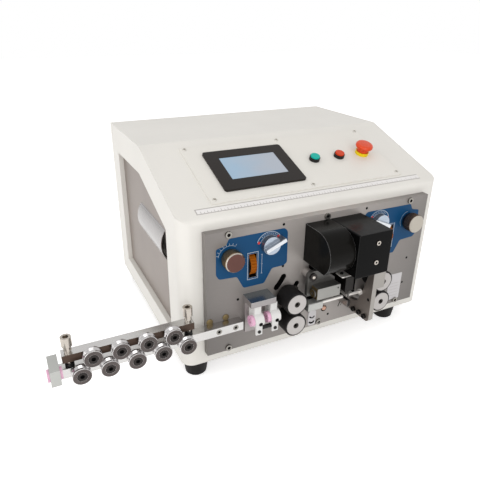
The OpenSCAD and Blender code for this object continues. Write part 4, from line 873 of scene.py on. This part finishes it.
def pan(name, side):
    """A pan of five walls, open towards the side given: -1 for the left, 1 for the right."""
    verts, faces = [], []
    for grow, deep in ((PAN_WALL, 0), (0, 0), (0, PAN_DEPTH), (PAN_WALL, PAN_DEPTH + PAN_WALL)):
        ring = rectangle(PAN_Y[0] - grow, PAN_Z[0] - grow, PAN_Y[1] + grow, PAN_Z[1] + grow)
        verts += [(side * (PANEL_BACK - deep), y, z) for y, z in ring]
    outer_rim, inner_rim, inner_floor, outer_floor = 0, 4, 8, 12
    for a, b in ((outer_rim, inner_rim), (inner_rim, inner_floor), (outer_floor, outer_rim)):
        faces += [(a + i, a + (i + 1) % 4, b + (i + 1) % 4, b + i) for i in range(4)]
    faces += [tuple(start + i for i in range(4)) for start in (inner_floor, outer_floor)]
    obj = piece(name, verts, faces, facing_up(0, 0, 0), CUT_EDGE)
    shell = bmesh.new()
    shell.from_mesh(obj.data)
    bmesh.ops.recalc_face_normals(shell, faces=shell.faces)
    shell.to_mesh(obj.data)
    shell.free()


pan("grip_pan_left", -1)
pan("grip_pan_right", 1)

# Bright clamp plate on top of the upper blade's holder, with its screw; its pale colour is partly a
# painted highlight
CLAMP_Z, CLAMP_T = span("upper_blade_holder")[1].z, 1.8
film("clamp_plate", [soften(rectangle(13, -43, 34, -25), 2)], CLAMP_T, facing_up(0, 0, CLAMP_Z),
     TUBE, "upper_blade_holder")
lathe("clamp_screw", [(0, 0), (2.8, 0), (2.8, 1.4), (2.2, 1.9), (0, 1.9)],
      facing_up(19, -33, CLAMP_Z + CLAMP_T), AXLE, "upper_blade_holder")

# Bright guide tubes on the wire's line, their pale colour partly a painted highlight: one in the
# nozzle's bore, one flanged on the bracket
WIRE_Y, WIRE_Z = -35.5, 79.6
TUBE_INNER, TUBE_OUTER = 1.7, 2.5
for name, x0, x1, flange in (("guide_tube", -24, 22.5, (2.9, 3)),
                             ("exit_tube", 34.5, 57.95, (5.2, 2.5))):
    tube(name, TUBE_INNER, TUBE_OUTER, x1 - x0, flange, facing_right(x0, WIRE_Y, WIRE_Z), TUBE)

# Fixings below the cutter: a copper head in a hole drawn as a dark disc of painted shade, a small
# socket screw with its socket painted dark, a slotted white stop plate with a crescent of painted
# shade, and two fine slots in the front plate; all the slots are dark films of painted shade
film("pin_hole", [circle(7.4, 48.2, 5.4, 28)], HOLE_T, on_plate(), DARK_HOLE)
lathe("copper_head", [(0, 0), (3.9, 0), (3.9, 2.6), (3.2, 3.4), (0, 3.4)],
      facing_front(6, PLATE_Y, 50.3), COPPER)
SOCKET_X, SOCKET_Z, SOCKET_H = -1, 27.5, 1.4
lathe("socket_rim", [(0, 0), (3.8, 0), (3.8, 1.0), (3.2, SOCKET_H), (0, SOCKET_H)],
      facing_front(SOCKET_X, PLATE_Y, SOCKET_Z), SCREW)
film("socket_hole", [circle(SOCKET_X, SOCKET_Z, 2.0, 6)], 0.06, on_plate(SOCKET_H), DARK_HOLE)
STOP_T = 2.0
film("stop_plate", [soften(rectangle(-23, 23.5, -8.5, 51), 5)], STOP_T, on_plate(), CARD)
for k, (x, z, turn) in enumerate([(-18.5, 39, -40), (-13, 38.5, 40)]):
    boxes(f"stop_slot_{k}", [(x, z, 5.4, 2.4, HOLE_T, turn)], on_plate(STOP_T), DARK_HOLE)
film("stop_crescent", [arc_band(-16, 32.8, 3.0, 6.2, 200, 340, 16)], HOLE_T, on_plate(STOP_T),
     DARK_HOLE)
boxes("plate_slot", [(37, 48.5, 1.8, 9, HOLE_T, -18), (41.5, 47.5, 1.0, 5, HOLE_T, -18)],
      on_plate(), DARK_HOLE)

# Socket bolts and a small hole in the bracket's left face, the hole a dark disc of painted shade
BRACKET_LEFT = 58
SOCKET_BOLT = [(0, 0), (4.2, 0), (4.2, 3.4), (3.4, 4.0), (2.4, 4.0), (2.4, 2.2), (0, 2.2)]
for k, (y, z) in enumerate([(-25, 41.5), (-39, 43.5), (-51.5, 43)]):
    lathe(f"bracket_bolt_{k}", SOCKET_BOLT, facing_left(BRACKET_LEFT, y, z), AXLE)
lathe("bracket_hole", [(0, 0), (2.6, 0), (2.6, 0.06), (0, 0.06)],
      facing_left(BRACKET_LEFT, -55.5, 75), DARK_HOLE)


# Floor, light and camera

def seen_directly(tree):
    """1 for the camera's rays and those that metal and glass pass on, 0 for the object's light."""
    path = add(tree, "ShaderNodeLightPath")
    total = path.outputs["Is Camera Ray"]
    for name in ("Is Glossy Ray", "Is Transmission Ray"):
        total = reckon(tree, "MAXIMUM", total, path.outputs[name])
    return total


FLOOR_HALF = 6.0  # metres
FLOOR_GLOW = 0.55
WHITE_LIGHT = (1, 1, 1, 1)
floor_mesh = bpy.data.meshes.new("floor")
floor_mesh.from_pydata([(x, y, 0) for x, y in centred(0, 0, FLOOR_HALF, FLOOR_HALF)], [],
                       [(0, 1, 2, 3)])
floor = bpy.data.objects.new("floor", floor_mesh)
bpy.context.scene.collection.objects.link(floor)
paper = finish("floor_paper", (0.93, 0.93, 0.93), 0.9, fleck=0.01, size=2.0, bump=0.02, cloud=0.0)
tree = paper.node_tree
paper_shader = tree.nodes["Principled BSDF"]
paper_shader.inputs["Emission Color"].default_value = WHITE_LIGHT
feed(tree, paper_shader.inputs["Emission Strength"],
     spread(tree, seen_directly(tree), To_Max=FLOOR_GLOW))
floor_mesh.materials.append(paper)

world = bpy.data.worlds.new("studio")
bpy.context.scene.world = world
world.use_nodes = True
tree = world.node_tree
ambient = tree.nodes["Background"]
ambient.inputs["Color"].default_value = (1.0, 0.99, 0.98, 1)
ambient.inputs["Strength"].default_value = 0.71
backdrop = add(tree, "ShaderNodeBackground", Color=WHITE_LIGHT, Strength=1.0)
choose = add(tree, "ShaderNodeMixShader", Fac=seen_directly(tree))
feed(tree, choose.inputs[1], ambient.outputs["Background"])
feed(tree, choose.inputs[2], backdrop.outputs["Background"])
feed(tree, tree.nodes["World Output"].inputs["Surface"], choose.outputs["Shader"])


def soft_box(name, place, aim, size, power):
    """A square area light aimed at a point; its size is in metres and its power in watts."""
    data = bpy.data.lights.new(name, "AREA")
    data.size = size
    data.energy = power
    lamp = bpy.data.objects.new(name, data)
    lamp.location = at(*place)
    lamp.rotation_euler = (at(*aim) - lamp.location).to_track_quat("-Z", "Y").to_euler()
    bpy.context.scene.collection.objects.link(lamp)


soft_box("key", (-300, -1700, 900), (0, 100, 120), 1.3, 10)
soft_box("left", (-1600, -250, 750), (-200, 150, 120), 1.3, 7.0)
soft_box("top", (0, 100, 2200), (0, 150, 200), 1.6, 2.4)

# The camera stands where the photograph's did, by a fit to the case's corners
CAMERA_PLACE = (-409.779, -555.272, 477.998)
YAW, PITCH, ROLL = math.radians(26.037), math.radians(24.768), math.radians(0.523)
SENSOR_W, LENS = 36, 36.626
NEAREST = 0.02  # metres
forward = Vector((math.sin(YAW) * math.cos(PITCH), math.cos(YAW) * math.cos(PITCH),
                  -math.sin(PITCH)))
right = Vector((math.cos(YAW), -math.sin(YAW), 0))
up = right.cross(forward)
tilted = Matrix((math.cos(ROLL) * right + math.sin(ROLL) * up,
                 -math.sin(ROLL) * right + math.cos(ROLL) * up, -forward)).transposed()
camera_data = bpy.data.cameras.new("camera")
camera_data.sensor_width = SENSOR_W
camera_data.lens = LENS
camera_data.clip_start = NEAREST
camera = bpy.data.objects.new("camera", camera_data)
camera.matrix_world = Matrix.Translation(at(*CAMERA_PLACE)) @ tilted.to_4x4()
bpy.context.scene.collection.objects.link(camera)
bpy.context.scene.camera = camera
bpy.context.scene.view_settings.view_transform = "Standard"
